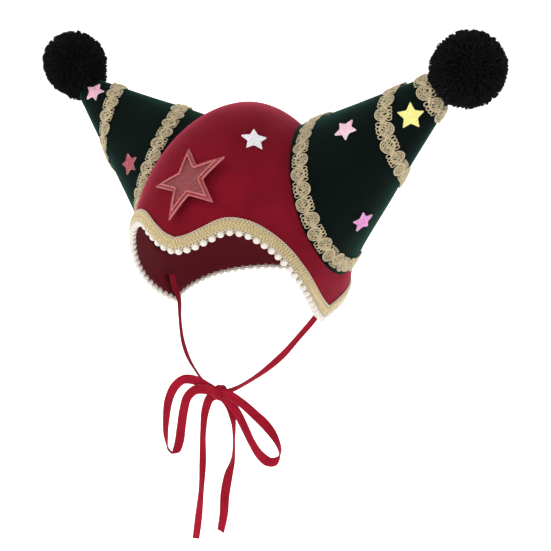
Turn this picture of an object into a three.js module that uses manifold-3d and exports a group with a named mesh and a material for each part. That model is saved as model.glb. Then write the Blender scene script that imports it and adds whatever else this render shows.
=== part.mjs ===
// A soft jester hat: a velvet hood with two hollow horns, pompoms, braid, pearls, stars and a ribbon bow.
// Millimetres, +Z up. The face looks along -Y and the wearer's left is +X.
// The origin is the top of the head, where the inside of the crown rests on it.
import * as THREE from "three";
import { mergeVertices } from "three/addons/utils/BufferGeometryUtils.js";
import Module from "manifold-3d";

// Hood
const HALF_WIDTH = 82.5;
const FRONT_REACH = 102.5;
const BACK_REACH = 96.5;
const CROWN_HEIGHT = 128; // from the top down to the widest level
const RIM_DEPTH = 166.5; // from the top down to the tips of the ear flaps
const HOOD_WALL = 2.4;
const CROWN_FULLNESS = 1.92; // exponent of the side profile: 2 is an ellipse
const PLAN_FULLNESS = 2.29; // exponent of the plan
const DRAW_IN_HEIGHT = 86.4; // the height over which the draw-in below is counted
const FRONT_DRAW_IN = 0.66; // share of the reach lost over that height, below the widest level
const BACK_DRAW_IN = 0.49;
const FLAP_ANGLE = 93; // degrees round from the middle of the forehead

// Rim: depth below the top of the crown as a share of RIM_DEPTH, degrees round from the forehead
const FRONT_RIM = [
  { angle: 0, depth: 0.664 },
  { angle: 7, depth: 0.643 },
  { angle: 14, depth: 0.606 },
  { angle: 22, depth: 0.565 },
  { angle: 30, depth: 0.569 },
  { angle: 38, depth: 0.604 },
  { angle: 47, depth: 0.667 },
  { angle: 57, depth: 0.762 },
  { angle: 70, depth: 0.886 },
  { angle: 82, depth: 0.96 },
  { angle: FLAP_ANGLE, depth: 1 },
];
const BACK_RIM = [
  { angle: FLAP_ANGLE, depth: 1 },
  { angle: 110, depth: 0.955 },
  { angle: 135, depth: 0.896 },
  { angle: 160, depth: 0.862 },
  { angle: 180, depth: 0.855 },
];

// Horns
const HORN_WALL = 2;
const HORN_TIP_RADIUS = 11.9;
const HORN_TIP_OUT = 165.4; // from the middle plane
const HORN_TIP_BACK = 2.8;
const SEAM_BACK = 22.5; // centre of the seam, behind the origin
const SEAM_DEPTH = 75; // centre of the seam, below the top of the crown
const SEAM_FRONT_REACH = 66;
const SEAM_BACK_REACH = 36.5;
const SEAM_HALF_HEIGHT = 58;
const SEAM_LEAN = 4; // degrees

// Pompoms
const POMPOM_RADIUS = 29;
const POMPOM_LOCK = 2.4; // how far each lock of yarn stands out

// Braid and pearls
const RIM_BRAID_WIDTH = 7.6;
const RIM_BRAID_THICKNESS = 1.5;
const PEARL_DIAMETER = 5.8;
const PEARL_PITCH = 7;
const THREAD_DIAMETER = 2;
const PEARL_DROP = 1; // clear of the rim's edge
const SCROLL_WIDTH = 12;
const SCROLL_THICKNESS = 1.4;
const SCROLL_CLEAR_OF_ENDS = 1; // from the horn's seam and tip

// Stars
const STAR_RADIUS = 10.5; // of the largest small star
const STAR_THICKNESS = 1.6;
const STAR_WAIST = 0.5; // inner corners, as a share of the radius
const STAR_CUT_REACH = 14; // how far a star's outline is carried through the layer that it is cut from
const BIG_STAR_RADIUS = 33;
const BIG_STAR_THICKNESS = 1.8;
const BIG_STAR_WAIST = 0.42;
const BIG_STAR_DISH = 350; // radius that its stiff plate is bent to
const BIG_STAR_EDGE = 0.84; // the raised outline's outer size, as a share of the star
const BIG_STAR_EDGE_INSIDE = 0.7;
const BIG_STAR_EDGE_HEIGHT = 0.9;
const BIG_STAR_ANGLE = 2; // degrees round from the forehead
const BIG_STAR_DEPTH = 0.487; // share of CROWN_HEIGHT
const BIG_STAR_LIFT = 3.6; // of its middle over the hood
const BIG_STAR_FACING = -9; // compass direction of its face
const BIG_STAR_TILT = 32; // of its face above the horizontal
const BIG_STAR_SPIN = -29;

// Ribbon
const RIBBON_WIDTH = 7.6;
const RIBBON_THICKNESS = 1.2;
const KNOT_WIDTH = 15;
const KNOT_DEPTH = 13;
const KNOT_HEIGHT = 13;

const GAP = 0.3; // between pieces that touch
const HEAD_FORM_BELOW_RIM = 12; // how far the form that the horns are cut to reaches below the rim
const HORN_FORM_REACH = 0.2; // how far a horn's form runs on into the head, as a share of its length

// The two horns. As shares of HORN_TIP_OUT: the tip's distance out and its height over the crown.
// yarnReach is from the tip to the middle of the pompom, as a share of the pompom's radius, and yarnTilt is
// how far that line tilts over the horn's axis, in degrees. scrollStart is the turn where the winding starts.
const HORNS = [
  {
    side: "left",
    sign: 1,
    tipOut: 0.969,
    tipRise: 0.0877,
    yarnReach: 0.848,
    yarnTilt: -10.8,
    scrollStart: 0.16,
  },
  {
    side: "right",
    sign: -1,
    tipOut: 1,
    tipRise: 0.0357,
    yarnReach: 0.952,
    yarnTilt: 16.4,
    scrollStart: 0.92,
  },
];

// Winding of the scroll braid: turns round the horn (0 at the back, 0.25 at the top, 0.5 in front)
// against the height up the horn, as a share of its length
const SCROLL_WINDING = [
  { turn: 0.16, left: 0.955, right: 0.955 },
  { turn: 0.5, left: 0.95, right: 0.915 },
  { turn: 0.75, left: 0.92, right: 0.905 },
  { turn: 1, left: 0.86, right: 0.89 },
  { turn: 1.25, left: 0.765, right: 0.814 },
  { turn: 1.38, left: 0.7, right: 0.714 },
  { turn: 1.5, left: 0.652, right: 0.623 },
  { turn: 1.62, left: 0.63, right: 0.57 },
  { turn: 1.75, left: 0.58, right: 0.527 },
  { turn: 2, left: 0.38, right: 0.44 },
  { turn: 2.25, left: 0.16, right: 0.307 },
  { turn: 2.33, left: 0.11, right: 0.183 },
  { turn: 2.42, left: 0.075, right: 0.083 },
  { turn: 2.5, left: 0.06, right: 0.06 },
];
const SEAM_SCROLL_HEIGHT = 0.06; // of the braid over the seam, as a share of the horn's length

// Small stars on the hood: degrees round from the forehead, depth as a share of CROWN_HEIGHT,
// size as a share of STAR_RADIUS
const HOOD_STARS = [
  { name: "star_silver", angle: 34.8, depth: 0.229, size: 1, spin: 0, colour: 0xd9d6dc },
];

// Small stars on the horns, in turns round and height as above
const HORN_STARS = [
  { name: "star_pale_pink", horn: 0, turn: 0.403, height: 0.41, size: 0.905, spin: 8, colour: 0xe3b3c6 },
  { name: "star_yellow", horn: 0, turn: 0.536, height: 0.815, size: 1, spin: 5, colour: 0xf0dc5c },
  { name: "star_orchid", horn: 0, turn: 0.661, height: 0.295, size: 0.905, spin: -10, colour: 0xc96bb5 },
  { name: "star_pink", horn: 1, turn: 0.414, height: 0.89, size: 0.762, spin: 0, colour: 0xe0a4bb },
  { name: "star_red", horn: 1, turn: 0.486, height: 0.25, size: 0.905, spin: 6, colour: 0xb5323f },
];

// Ribbon: the knot under the chin, and the routes with the compass direction each point's flat faces
const KNOT = new THREE.Vector3(9, -46, -227);
const STRAP_ROUTE = [
  [74.2, 3, -146, 90],
  [71.5, 3, -155, 90],
  [65.6, 2, -166, 88],
  [58, -8, -180, 75],
  [49, -18, -195, 60],
  [39, -27, -207, 45],
  [29, -34, -216, 30],
  [19, -40, -223, 15],
  [9, -42, -227, 5],
];
const RIGHT_STRAP_ROUTE = [
  [-74.2, 3, -146, -90],
  [-71.5, 3, -155, -90],
  [-65.6, 2, -166, -88],
  [-57, -8, -180, -75],
  [-47, -18, -195, -60],
  [-35, -27, -207, -45],
  [-22, -34, -216, -30],
  [-8, -40, -223, -15],
  [9, -42, -227, -5],
];
const LEFT_LOOP_ROUTE = [
  [9, -50, -226, 0],
  [20, -50, -226, 0],
  [31, -50, -230, 5],
  [43, -50, -237, 12],
  [55, -49, -246, 30],
  [63, -48, -256, 55],
  [66, -47, -265, 62],
  [63, -47, -272, 35],
  [56, -47, -274, 5],
  [48, -47, -270, -5],
  [40, -47, -261, -5],
  [33, -47, -250, -5],
  [26, -47, -240, -5],
  [18, -47, -232, 0],
  [9, -47, -228, 0],
];
const RIGHT_LOOP_ROUTE = [
  [9, -50, -226, 0],
  [-3, -50, -225, 0],
  [-12, -50, -227, 0],
  [-19, -50, -234, 5],
  [-23, -49, -246, 8],
  [-25, -49, -260, 8],
  [-27, -49, -274, 4],
  [-31, -49, -283, 0],
  [-37, -49, -281, -8],
  [-40, -49, -270, -8],
  [-40, -49, -255, -5],
  [-38, -49, -240, 5],
  [-33, -48, -228, 20],
  [-25, -47, -221, 10],
  [-13, -47, -220, 0],
  [-2, -47, -223, 0],
  [9, -47, -227, 0],
];
const LEFT_TAIL_ROUTE = [
  [9, -44.5, -228, 0],
  [17, -43, -237, 35],
  [20, -42, -250, 60],
  [21, -42, -264, 50],
  [20, -41, -279, 20],
  [16, -41, -295, 8],
  [13, -40, -312, 0],
  [12, -39, -328, -8],
  [9, -38, -344, -12],
];
const RIGHT_TAIL_ROUTE = [
  [9, -44.5, -228, 0],
  [0, -45, -232, 5],
  [-4, -46, -243, 6],
  [-5, -47, -262, 4],
  [-4, -48, -285, 0],
  [-4, -49, -308, -4],
  [-5, -50, -330, -4],
  [-7, -50, -350, 0],
];

// Fineness of the facets
const FRONT_COLUMNS = 12; // from the forehead to a flap
const BACK_COLUMNS = 8; // from a flap to the nape
const CROWN_ROWS = 8;
const HORN_COLUMNS = 24;
const HORN_ROWS = 4;
const POMPOM_DETAIL = 2;
const PEARL_SIDES = 10;
const TURN_STEP = 0.005; // turn round a horn over which a slope is measured

const VELVET_RED = { color: 0x8c1226, roughness: 0.9, metalness: 0 };
const VELVET_GREEN = { color: 0x0a2f24, roughness: 0.9, metalness: 0 };
const GOLD_THREAD = { color: 0xc9ad72, roughness: 0.45, metalness: 0.5 };
const PEARL = { color: 0xf1ebe2, roughness: 0.25, metalness: 0 };
const YARN_BLACK = { color: 0x121216, roughness: 1, metalness: 0 };
const RIBBON_RED = { color: 0xa3152f, roughness: 0.8, metalness: 0 };
const GLITTER = { roughness: 0.5, metalness: 0.2 };
const GLITTER_RED = { ...GLITTER, color: 0xb43a44 };

const wasm = await Module();
wasm.setup();

const TOP = HOOD_WALL; // the outside of the crown, over the origin
const radians = THREE.MathUtils.degToRad;

// Value of a table's column at a place between its rows, on a smooth curve through them
function smoothValue(rows, key, column, place) {
  const last = rows.length - 1;
  let i = rows.findIndex((row) => row[key] > place) - 1;
  if (i < 0) i = place < rows[0][key] ? 0 : last - 1;
  const slope = (a, b) => (rows[b][column] - rows[a][column]) / (rows[b][key] - rows[a][key]);
  const slopeAt = (k) => slope(Math.max(k - 1, 0), Math.min(k + 1, last));
  const span = rows[i + 1][key] - rows[i][key];
  const t = (place - rows[i][key]) / span;
  return (
    rows[i][column] * (1 + 2 * t) * (1 - t) ** 2 +
    rows[i + 1][column] * t * t * (3 - 2 * t) +
    slopeAt(i) * span * t * (1 - t) ** 2 +
    slopeAt(i + 1) * span * t * t * (t - 1)
  );
}

// A closed body skinned over rings of points. Its ends close to a point, or meet each other.
function skin(rings, ends) {
  const size = rings[0].length;
  const points = rings.flat();
  const faces = [];
  const links = ends ? rings.length - 1 : rings.length;
  for (let i = 0; i < links; i++) {
    const next = (i + 1) % rings.length;
    for (let j = 0; j < size; j++) {
      const k = (j + 1) % size;
      faces.push(i * size + j, i * size + k, next * size + k);
      faces.push(i * size + j, next * size + k, next * size + j);
    }
  }
  if (ends) {
    points.push(ends[0], ends[1]);
    const lastRing = (rings.length - 1) * size;
    for (let j = 0; j < size; j++) {
      const k = (j + 1) % size;
      faces.push(points.length - 2, k, j);
      faces.push(points.length - 1, lastRing + j, lastRing + k);
    }
  }
  const cross = new THREE.Vector3();
  let volume = 0;
  for (let f = 0; f < faces.length; f += 3) {
    cross.crossVectors(points[faces[f + 1]], points[faces[f + 2]]);
    volume += cross.dot(points[faces[f]]);
  }
  if (volume < 0) faces.reverse();
  return new THREE.BufferGeometry().setFromPoints(points).setIndex(faces);
}

function centreOf(points) {
  return points.reduce((sum, p) => sum.add(p), new THREE.Vector3()).divideScalar(points.length);
}

function solidOf(geometry) {
  const bare = geometry.clone();
  bare.deleteAttribute("normal");
  bare.deleteAttribute("uv");
  const merged = mergeVertices(bare, 1e-4);
  return new wasm.Manifold(
    new wasm.Mesh({
      numProp: 3,
      vertProperties: merged.attributes.position.array,
      triVerts: new Uint32Array(merged.index.array),
    }),
  );
}

function geometryOf(solid) {
  const mesh = solid.getMesh();
  const geometry = new THREE.BufferGeometry();
  geometry.setAttribute("position", new THREE.BufferAttribute(mesh.vertProperties, 3));
  geometry.setIndex(new THREE.BufferAttribute(mesh.triVerts, 1));
  const flat = geometry.toNonIndexed();
  flat.computeVertexNormals();
  return flat;
}

function piece(name, geometry, finish) {
  const mesh = new THREE.Mesh(geometry, new THREE.MeshStandardMaterial(finish));
  mesh.name = name;
  return mesh;
}

// Share of the hood's reach that is left at a height: one for the front and sides, one for the back
function drawIn(z) {
  const below = Math.max(TOP - CROWN_HEIGHT - z, 0) / DRAW_IN_HEIGHT;
  return { front: 1 - FRONT_DRAW_IN * below ** 2, back: 1 - BACK_DRAW_IN * below ** 2 };
}

// Share of the plan that is left at a height over the widest level
function crownShare(z, offset) {
  const height = CROWN_HEIGHT + offset;
  const up = THREE.MathUtils.clamp((z - TOP + CROWN_HEIGHT) / height, 0, 1);
  return (1 - up ** CROWN_FULLNESS) ** (1 / CROWN_FULLNESS);
}

// Point of the hood's outside, moved out by an offset: degrees round from the forehead, and height
function hoodPoint(angle, z, offset = 0) {
  const a = radians(angle);
  const draw = drawIn(z);
  const across = HALF_WIDTH * draw.front + offset;
  const along = Math.cos(a) > 0 ? FRONT_REACH * draw.front + offset : BACK_REACH * draw.back + offset;
  const sideways = (Math.abs(Math.sin(a)) / across) ** PLAN_FULLNESS;
  const lengthways = (Math.abs(Math.cos(a)) / along) ** PLAN_FULLNESS;
  const radius = crownShare(z, offset) / (sideways + lengthways) ** (1 / PLAN_FULLNESS);
  return new THREE.Vector3(radius * Math.sin(a), -radius * Math.cos(a), z);
}

// Height at a share of the way down from the top (0) through the widest level (1)
function crownLevel(share, offset) {
  const height = CROWN_HEIGHT + offset;
  const widest = TOP - CROWN_HEIGHT;
  if (share > 1) return widest - ((share - 1) * CROWN_HEIGHT * Math.PI) / 2;
  return widest + height * Math.cos((share * Math.PI) / 2) ** (2 / CROWN_FULLNESS);
}

function shareOfLevel(z) {
  const widest = TOP - CROWN_HEIGHT;
  if (z < widest) return 1 + ((widest - z) * 2) / (CROWN_HEIGHT * Math.PI);
  return (2 / Math.PI) * Math.acos(((z - widest) / CROWN_HEIGHT) ** (CROWN_FULLNESS / 2));
}

function rimHeight(angle) {
  const round = Math.abs(((angle + 540) % 360) - 180);
  const rows = round < FLAP_ANGLE ? FRONT_RIM : BACK_RIM;
  return TOP - RIM_DEPTH * smoothValue(rows, "angle", "depth", round);
}

// Degrees round of the hood's columns, closer or wider so that the forehead, flaps and nape have one
function hoodAngles(split = 1) {
  const half = [];
  for (let i = 0; i < FRONT_COLUMNS * split; i++) half.push((FLAP_ANGLE * i) / (FRONT_COLUMNS * split));
  for (let i = 0; i < BACK_COLUMNS * split; i++)
    half.push(FLAP_ANGLE + ((180 - FLAP_ANGLE) * i) / (BACK_COLUMNS * split));
  const mirrored = half.slice(1).map((angle) => 360 - angle);
  return [...half, 180, ...mirrored.reverse()];
}

// Rings of points down the hood, from under the top to the rim
function hoodRings(offset) {
  return Array.from({ length: CROWN_ROWS }, (_, row) =>
    hoodAngles().map((angle) => {
      const share = (shareOfLevel(rimHeight(angle)) * (row + 1)) / CROWN_ROWS;
      return hoodPoint(angle, crownLevel(share, offset), offset);
    }),
  );
}

// The whole head form inside a face of the hood, closed across its bottom below the rim
function headForm(offset) {
  const bottom = TOP - RIM_DEPTH - HEAD_FORM_BELOW_RIM;
  const rings = [...hoodRings(offset), hoodAngles().map((angle) => hoodPoint(angle, bottom, offset))];
  const top = new THREE.Vector3(0, 0, TOP + offset);
  return solidOf(skin(rings, [top, centreOf(rings.at(-1))]));
}

function hoodShell() {
  const outside = hoodRings(0);
  const inside = hoodRings(-HOOD_WALL).reverse();
  const tops = [new THREE.Vector3(0, 0, TOP), new THREE.Vector3(0, 0, TOP - HOOD_WALL)];
  return solidOf(skin([...outside, ...inside], tops));
}

// Point of a horn's seam on the hood, for the wearer's left
function seamPoint(turn) {
  const a = turn * 2 * Math.PI;
  const lean = radians(SEAM_LEAN);
  const along = Math.cos(a) * (Math.cos(a) < 0 ? SEAM_FRONT_REACH : SEAM_BACK_REACH);
  const up = Math.sin(a) * SEAM_HALF_HEIGHT;
  const y = SEAM_BACK + along * Math.cos(lean) - up * Math.sin(lean);
  const z = TOP - SEAM_DEPTH + along * Math.sin(lean) + up * Math.cos(lean);
  const draw = drawIn(z);
  const reach = y < 0 ? FRONT_REACH * draw.front : BACK_REACH * draw.back;
  const plan = crownShare(z, 0) ** PLAN_FULLNESS - (Math.abs(y) / reach) ** PLAN_FULLNESS;
  return new THREE.Vector3(HALF_WIDTH * draw.front * plan ** (1 / PLAN_FULLNESS), y, z);
}

// Middle, axis and cross directions of a horn's tip
function hornFrame(horn) {
  const seam = Array.from({ length: HORN_COLUMNS }, (_, i) => seamPoint(i / HORN_COLUMNS));
  const height = TOP + horn.tipRise * HORN_TIP_OUT;
  const tip = new THREE.Vector3(horn.tipOut * HORN_TIP_OUT, HORN_TIP_BACK, height);
  const axis = tip.clone().sub(centreOf(seam)).normalize();
  const back = new THREE.Vector3(0, 1, 0).addScaledVector(axis, -axis.y).normalize();
  const up = new THREE.Vector3().crossVectors(axis, back);
  if (up.z < 0) up.negate();
  return { tip, axis, back, up };
}

// Straight run of a horn from its seam (0) to its tip (1), on the wearer's left before mirroring
function hornLine(horn, turn, height) {
  const { tip, back, up } = hornFrame(horn);
  const a = turn * 2 * Math.PI;
  const end = tip.clone();
  end.addScaledVector(back, HORN_TIP_RADIUS * Math.cos(a));
  end.addScaledVector(up, HORN_TIP_RADIUS * Math.sin(a));
  return seamPoint(turn).lerp(end, height);
}

// Frame of a horn's surface at a place: the point moved out by an offset, and the way out
function hornPlace(horn, turn, height, offset = 0) {
  const point = hornLine(horn, turn, height);
  const round = hornLine(horn, turn + TURN_STEP, height).sub(hornLine(horn, turn - TURN_STEP, height));
  const rise = hornLine(horn, turn, 1).sub(hornLine(horn, turn, 0));
  const out = new THREE.Vector3().crossVectors(rise, round).normalize();
  const { tip, axis } = hornFrame(horn);
  const away = point.clone().sub(tip);
  away.addScaledVector(axis, -away.dot(axis));
  if (out.dot(away) < 0) out.negate();
  point.addScaledVector(out, offset);
  if (horn.sign < 0) {
    point.x = -point.x;
    out.x = -out.x;
  }
  return { point, out, length: rise.length() };
}

// Closed cone inside a face of a horn, reaching into the head
function hornForm(horn, offset, endBack = 0) {
  const rings = [];
  for (let row = 0; row <= HORN_ROWS; row++) {
    const height = -HORN_FORM_REACH + ((1 + HORN_FORM_REACH - endBack) * row) / HORN_ROWS;
    const around = (i) => hornPlace(horn, i / HORN_COLUMNS, height, offset).point;
    rings.push(Array.from({ length: HORN_COLUMNS }, (_, i) => around(i)));
  }
  return solidOf(skin(rings, [centreOf(rings[0]), centreOf(rings.at(-1))]));
}

const hornLength = (horn) => hornPlace(horn, 0.5, 0).length;
const hornHollow = (horn) => hornForm(horn, -HORN_WALL, HORN_WALL / hornLength(horn));

function pompomCentre(horn) {
  const { tip, axis, up } = hornFrame(horn);
  const tilt = radians(horn.yarnTilt);
  tip.addScaledVector(axis, horn.yarnReach * POMPOM_RADIUS * Math.cos(tilt));
  tip.addScaledVector(up, horn.yarnReach * POMPOM_RADIUS * Math.sin(tilt));
  tip.x *= horn.sign;
  return tip;
}

// Ball of yarn: each facet of a round head is drawn out to one lock
function pompom(horn) {
  const ball = new THREE.IcosahedronGeometry(POMPOM_RADIUS - POMPOM_LOCK, POMPOM_DETAIL);
  const position = ball.getAttribute("position");
  const points = [];
  for (let i = 0; i < position.count; i += 3) {
    const corners = [0, 1, 2].map((k) => new THREE.Vector3().fromBufferAttribute(position, i + k));
    const lock = centreOf(corners).setLength(POMPOM_RADIUS);
    for (let k = 0; k < 3; k++) points.push(corners[k], corners[(k + 1) % 3], lock);
  }
  const geometry = mergeVertices(new THREE.BufferGeometry().setFromPoints(points), 1e-4);
  geometry.translate(...pompomCentre(horn));
  const tipRoom = hornForm(horn, GAP + SCROLL_THICKNESS + GAP, -GAP / hornLength(horn));
  return geometryOf(solidOf(geometry).subtract(tipRoom));
}

// Length of the rim over its level length at a place: what a width square to the rim grows by when upright
function rimSlant(angle) {
  const [before, here, after] = [-1, 0, 1].map((step) => hoodPoint(angle + step, rimHeight(angle + step)));
  const run = before.distanceTo(here) + here.distanceTo(after);
  const rise = Math.abs(after.z - here.z) + Math.abs(here.z - before.z);
  return run / Math.sqrt(run * run - rise * rise);
}

function rimBraid() {
  const rings = hoodAngles().map((angle) => {
    const height = RIM_BRAID_WIDTH * rimSlant(angle);
    const at = (up, out) => {
      const share = shareOfLevel(rimHeight(angle)) - (2 * up) / (Math.PI * CROWN_HEIGHT);
      return hoodPoint(angle, crownLevel(share, 0), out);
    };
    const outer = GAP + RIM_BRAID_THICKNESS;
    const inner = [at(0, GAP), at(height / 2, GAP), at(height, GAP)];
    return [...inner, at(height, outer), at(height / 2, outer), at(0, outer)];
  });
  return skin(rings);
}

function rimPearls() {
  const drop = PEARL_DROP + PEARL_DIAMETER / 2;
  const path = hoodAngles(2).map((angle) => {
    const point = hoodPoint(angle, rimHeight(angle), -HOOD_WALL / 2);
    point.z -= drop * rimSlant(angle);
    return point;
  });
  const line = new THREE.CatmullRomCurve3(path, true, "centripetal");
  line.arcLengthDivisions = path.length * 8;
  const count = Math.round(line.getLength() / PEARL_PITCH);
  const rings = [];
  for (let i = 0; i < count * 2; i++) {
    const centre = line.getPointAt(i / (count * 2));
    const along = line.getTangentAt(i / (count * 2));
    const out = new THREE.Vector3(centre.x, centre.y, 0).normalize();
    const side = new THREE.Vector3().crossVectors(along, out).normalize();
    out.crossVectors(side, along);
    const radius = (i % 2 ? PEARL_DIAMETER : THREAD_DIAMETER) / 2;
    rings.push(
      Array.from({ length: PEARL_SIDES }, (_, k) => {
        const a = (2 * Math.PI * k) / PEARL_SIDES;
        const point = centre.clone().addScaledVector(out, radius * Math.cos(a));
        return point.addScaledVector(side, radius * Math.sin(a));
      }),
    );
  }
  return skin(rings);
}

// Flat band across a horn, with its middle at a height
function scrollSection(horn, turn, height, slope) {
  const { length } = hornPlace(horn, turn, height);
  const half = (SCROLL_WIDTH / 2 / length) * Math.sqrt(1 + slope * slope);
  const low = Math.max(height - half, SCROLL_CLEAR_OF_ENDS / length);
  const high = Math.min(height + half, 1 - SCROLL_CLEAR_OF_ENDS / length);
  const outer = GAP + SCROLL_THICKNESS;
  const at = (place, offset) => hornPlace(horn, turn, place, offset).point;
  return [at(low, GAP), at(high, GAP), at(high, outer), at(low, outer)];
}

function hornScroll(horn) {
  const seamRings = Array.from({ length: HORN_COLUMNS }, (_, i) =>
    scrollSection(horn, i / HORN_COLUMNS, SEAM_SCROLL_HEIGHT, 0),
  );
  const windingRings = [];
  const first = Math.ceil(horn.scrollStart * HORN_COLUMNS);
  const last = Math.floor(SCROLL_WINDING.at(-1).turn * HORN_COLUMNS);
  for (let i = first; i <= last; i++) {
    const turn = i / HORN_COLUMNS;
    const height = smoothValue(SCROLL_WINDING, "turn", horn.side, turn);
    const later = smoothValue(SCROLL_WINDING, "turn", horn.side, turn + TURN_STEP);
    const { point, length } = hornPlace(horn, turn, height);
    const run = hornPlace(horn, turn + TURN_STEP, height).point.distanceTo(point);
    windingRings.push(scrollSection(horn, turn, height, ((later - height) * length) / run));
  }
  const ends = [centreOf(windingRings[0]), centreOf(windingRings.at(-1))];
  return geometryOf(solidOf(skin(seamRings)).add(solidOf(skin(windingRings, ends))));
}

function starShape(radius) {
  const shape = new THREE.Shape();
  for (let i = 0; i < 10; i++) {
    const a = (i * Math.PI) / 5;
    const reach = i % 2 ? radius * STAR_WAIST : radius;
    shape[i ? "lineTo" : "moveTo"](reach * Math.sin(a), reach * Math.cos(a));
  }
  shape.closePath();
  return shape;
}

// Star cut through the layer between two faces, pointing out at a place
function star(shape, place, spin, layer) {
  const prism = new THREE.ExtrudeGeometry(shape, { depth: 2 * STAR_CUT_REACH, bevelEnabled: false });
  prism.translate(0, 0, -STAR_CUT_REACH);
  prism.rotateZ(radians(spin));
  prism.applyMatrix4(standingMatrix(place));
  return geometryOf(solidOf(prism).intersect(layer));
}

// Frame at a place with its depth axis pointing out and its height axis as upright as it can be
function standingMatrix({ point, out }) {
  const up = new THREE.Vector3(0, 0, 1).addScaledVector(out, -out.z).normalize();
  const across = new THREE.Vector3().crossVectors(up, out);
  return new THREE.Matrix4().makeBasis(across, up, out).setPosition(point);
}

function bigStarMatrix() {
  const place = hoodPlace(BIG_STAR_ANGLE, TOP - CROWN_HEIGHT * BIG_STAR_DEPTH);
  const point = place.point.addScaledVector(place.out, BIG_STAR_LIFT);
  const level = Math.cos(radians(BIG_STAR_TILT));
  const out = new THREE.Vector3(
    level * Math.sin(radians(BIG_STAR_FACING)),
    -level * Math.cos(radians(BIG_STAR_FACING)),
    Math.sin(radians(BIG_STAR_TILT)),
  );
  return standingMatrix({ point, out });
}

// Corner of the big star's bent plate, at a share of its size and a height over its back
function bigStarCorner(i, share, height) {
  const reach = share * BIG_STAR_RADIUS * (i % 2 ? BIG_STAR_WAIST : 1);
  const a = (i * Math.PI) / 5 + radians(BIG_STAR_SPIN);
  const dish = reach ** 2 / (2 * BIG_STAR_DISH);
  return new THREE.Vector3(reach * Math.sin(a), reach * Math.cos(a), height - dish);
}

function bigStarPlate() {
  const ring = (height) => Array.from({ length: 10 }, (_, i) => bigStarCorner(i, 1, height));
  const middles = [new THREE.Vector3(), new THREE.Vector3(0, 0, BIG_STAR_THICKNESS)];
  return skin([ring(0), ring(BIG_STAR_THICKNESS)], middles).applyMatrix4(bigStarMatrix());
}

function bigStarEdge() {
  const low = BIG_STAR_THICKNESS + GAP;
  const high = low + BIG_STAR_EDGE_HEIGHT;
  const rings = Array.from({ length: 10 }, (_, i) => [
    bigStarCorner(i, BIG_STAR_EDGE_INSIDE, low),
    bigStarCorner(i, BIG_STAR_EDGE, low),
    bigStarCorner(i, BIG_STAR_EDGE, high),
    bigStarCorner(i, BIG_STAR_EDGE_INSIDE, high),
  ]);
  return skin(rings).applyMatrix4(bigStarMatrix());
}

function hoodPlace(angle, z) {
  const point = hoodPoint(angle, z);
  const round = hoodPoint(angle + 1, z).sub(hoodPoint(angle - 1, z));
  const down = hoodPoint(angle, z - 1).sub(hoodPoint(angle, z + 1));
  const out = new THREE.Vector3().crossVectors(down, round).normalize();
  if (out.dot(point) < 0) out.negate();
  return { point, out };
}

const hoodLayer = (from, to) => headForm(to).subtract(headForm(from));
const hornLayer = (horn, from, to) => hornForm(horn, to).subtract(hornForm(horn, from));

// Line through a ribbon's route whose flat side faces where the route says
class RibbonLine extends THREE.CatmullRomCurve3 {
  constructor(route) {
    super(
      route.map(([x, y, z]) => new THREE.Vector3(x, y, z)),
      false,
      "centripetal",
    );
    this.facings = route.map((row) => row[3]);
  }

  facingAt(share) {
    const t = this.getUtoTmapping(share) * (this.facings.length - 1);
    const i = Math.min(Math.floor(t), this.facings.length - 2);
    return radians(THREE.MathUtils.lerp(this.facings[i], this.facings[i + 1], t - i));
  }

  computeFrenetFrames(steps) {
    const frames = { tangents: [], normals: [], binormals: [] };
    for (let i = 0; i <= steps; i++) {
      const tangent = this.getTangentAt(i / steps);
      const facing = this.facingAt(i / steps);
      const normal = new THREE.Vector3(Math.sin(facing), -Math.cos(facing), 0);
      normal.addScaledVector(tangent, -normal.dot(tangent)).normalize();
      frames.tangents.push(tangent);
      frames.normals.push(normal);
      frames.binormals.push(new THREE.Vector3().crossVectors(tangent, normal));
    }
    return frames;
  }
}

function ribbonSection() {
  const halfWidth = RIBBON_WIDTH / 2;
  const halfThickness = RIBBON_THICKNESS / 2;
  const edge = halfThickness / 2;
  const corners = [
    [halfThickness, halfWidth - edge],
    [edge, halfWidth],
    [-edge, halfWidth],
    [-halfThickness, halfWidth - edge],
    [-halfThickness, edge - halfWidth],
    [-edge, -halfWidth],
    [edge, -halfWidth],
    [halfThickness, edge - halfWidth],
  ];
  return new THREE.Shape(corners.map(([x, y]) => new THREE.Vector2(x, y)));
}

function ribbon(route, steps) {
  return solidOf(
    new THREE.ExtrudeGeometry(ribbonSection(), {
      steps,
      extrudePath: new RibbonLine(route),
      bevelEnabled: false,
    }),
  );
}

function knotForm(clearance) {
  const geometry = new THREE.IcosahedronGeometry(1, 1);
  geometry.scale(KNOT_WIDTH / 2 + clearance, KNOT_DEPTH / 2 + clearance, KNOT_HEIGHT / 2 + clearance);
  geometry.translate(...KNOT);
  return solidOf(geometry);
}

const hat = new THREE.Group();

const head = headForm(GAP);
let hood = hoodShell();
for (const horn of HORNS) hood = hood.subtract(hornHollow(horn));
hat.add(piece("hood", geometryOf(hood), VELVET_RED));

for (const horn of HORNS) {
  const shell = hornForm(horn, 0).subtract(hornHollow(horn)).subtract(head);
  hat.add(piece("horn_" + horn.side, geometryOf(shell), VELVET_GREEN));
  hat.add(piece("horn_scroll_" + horn.side, hornScroll(horn), GOLD_THREAD));
  hat.add(piece("pompom_" + horn.side, pompom(horn), YARN_BLACK));
}

hat.add(piece("rim_braid", rimBraid(), GOLD_THREAD));
hat.add(piece("rim_pearls", rimPearls(), PEARL));

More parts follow.
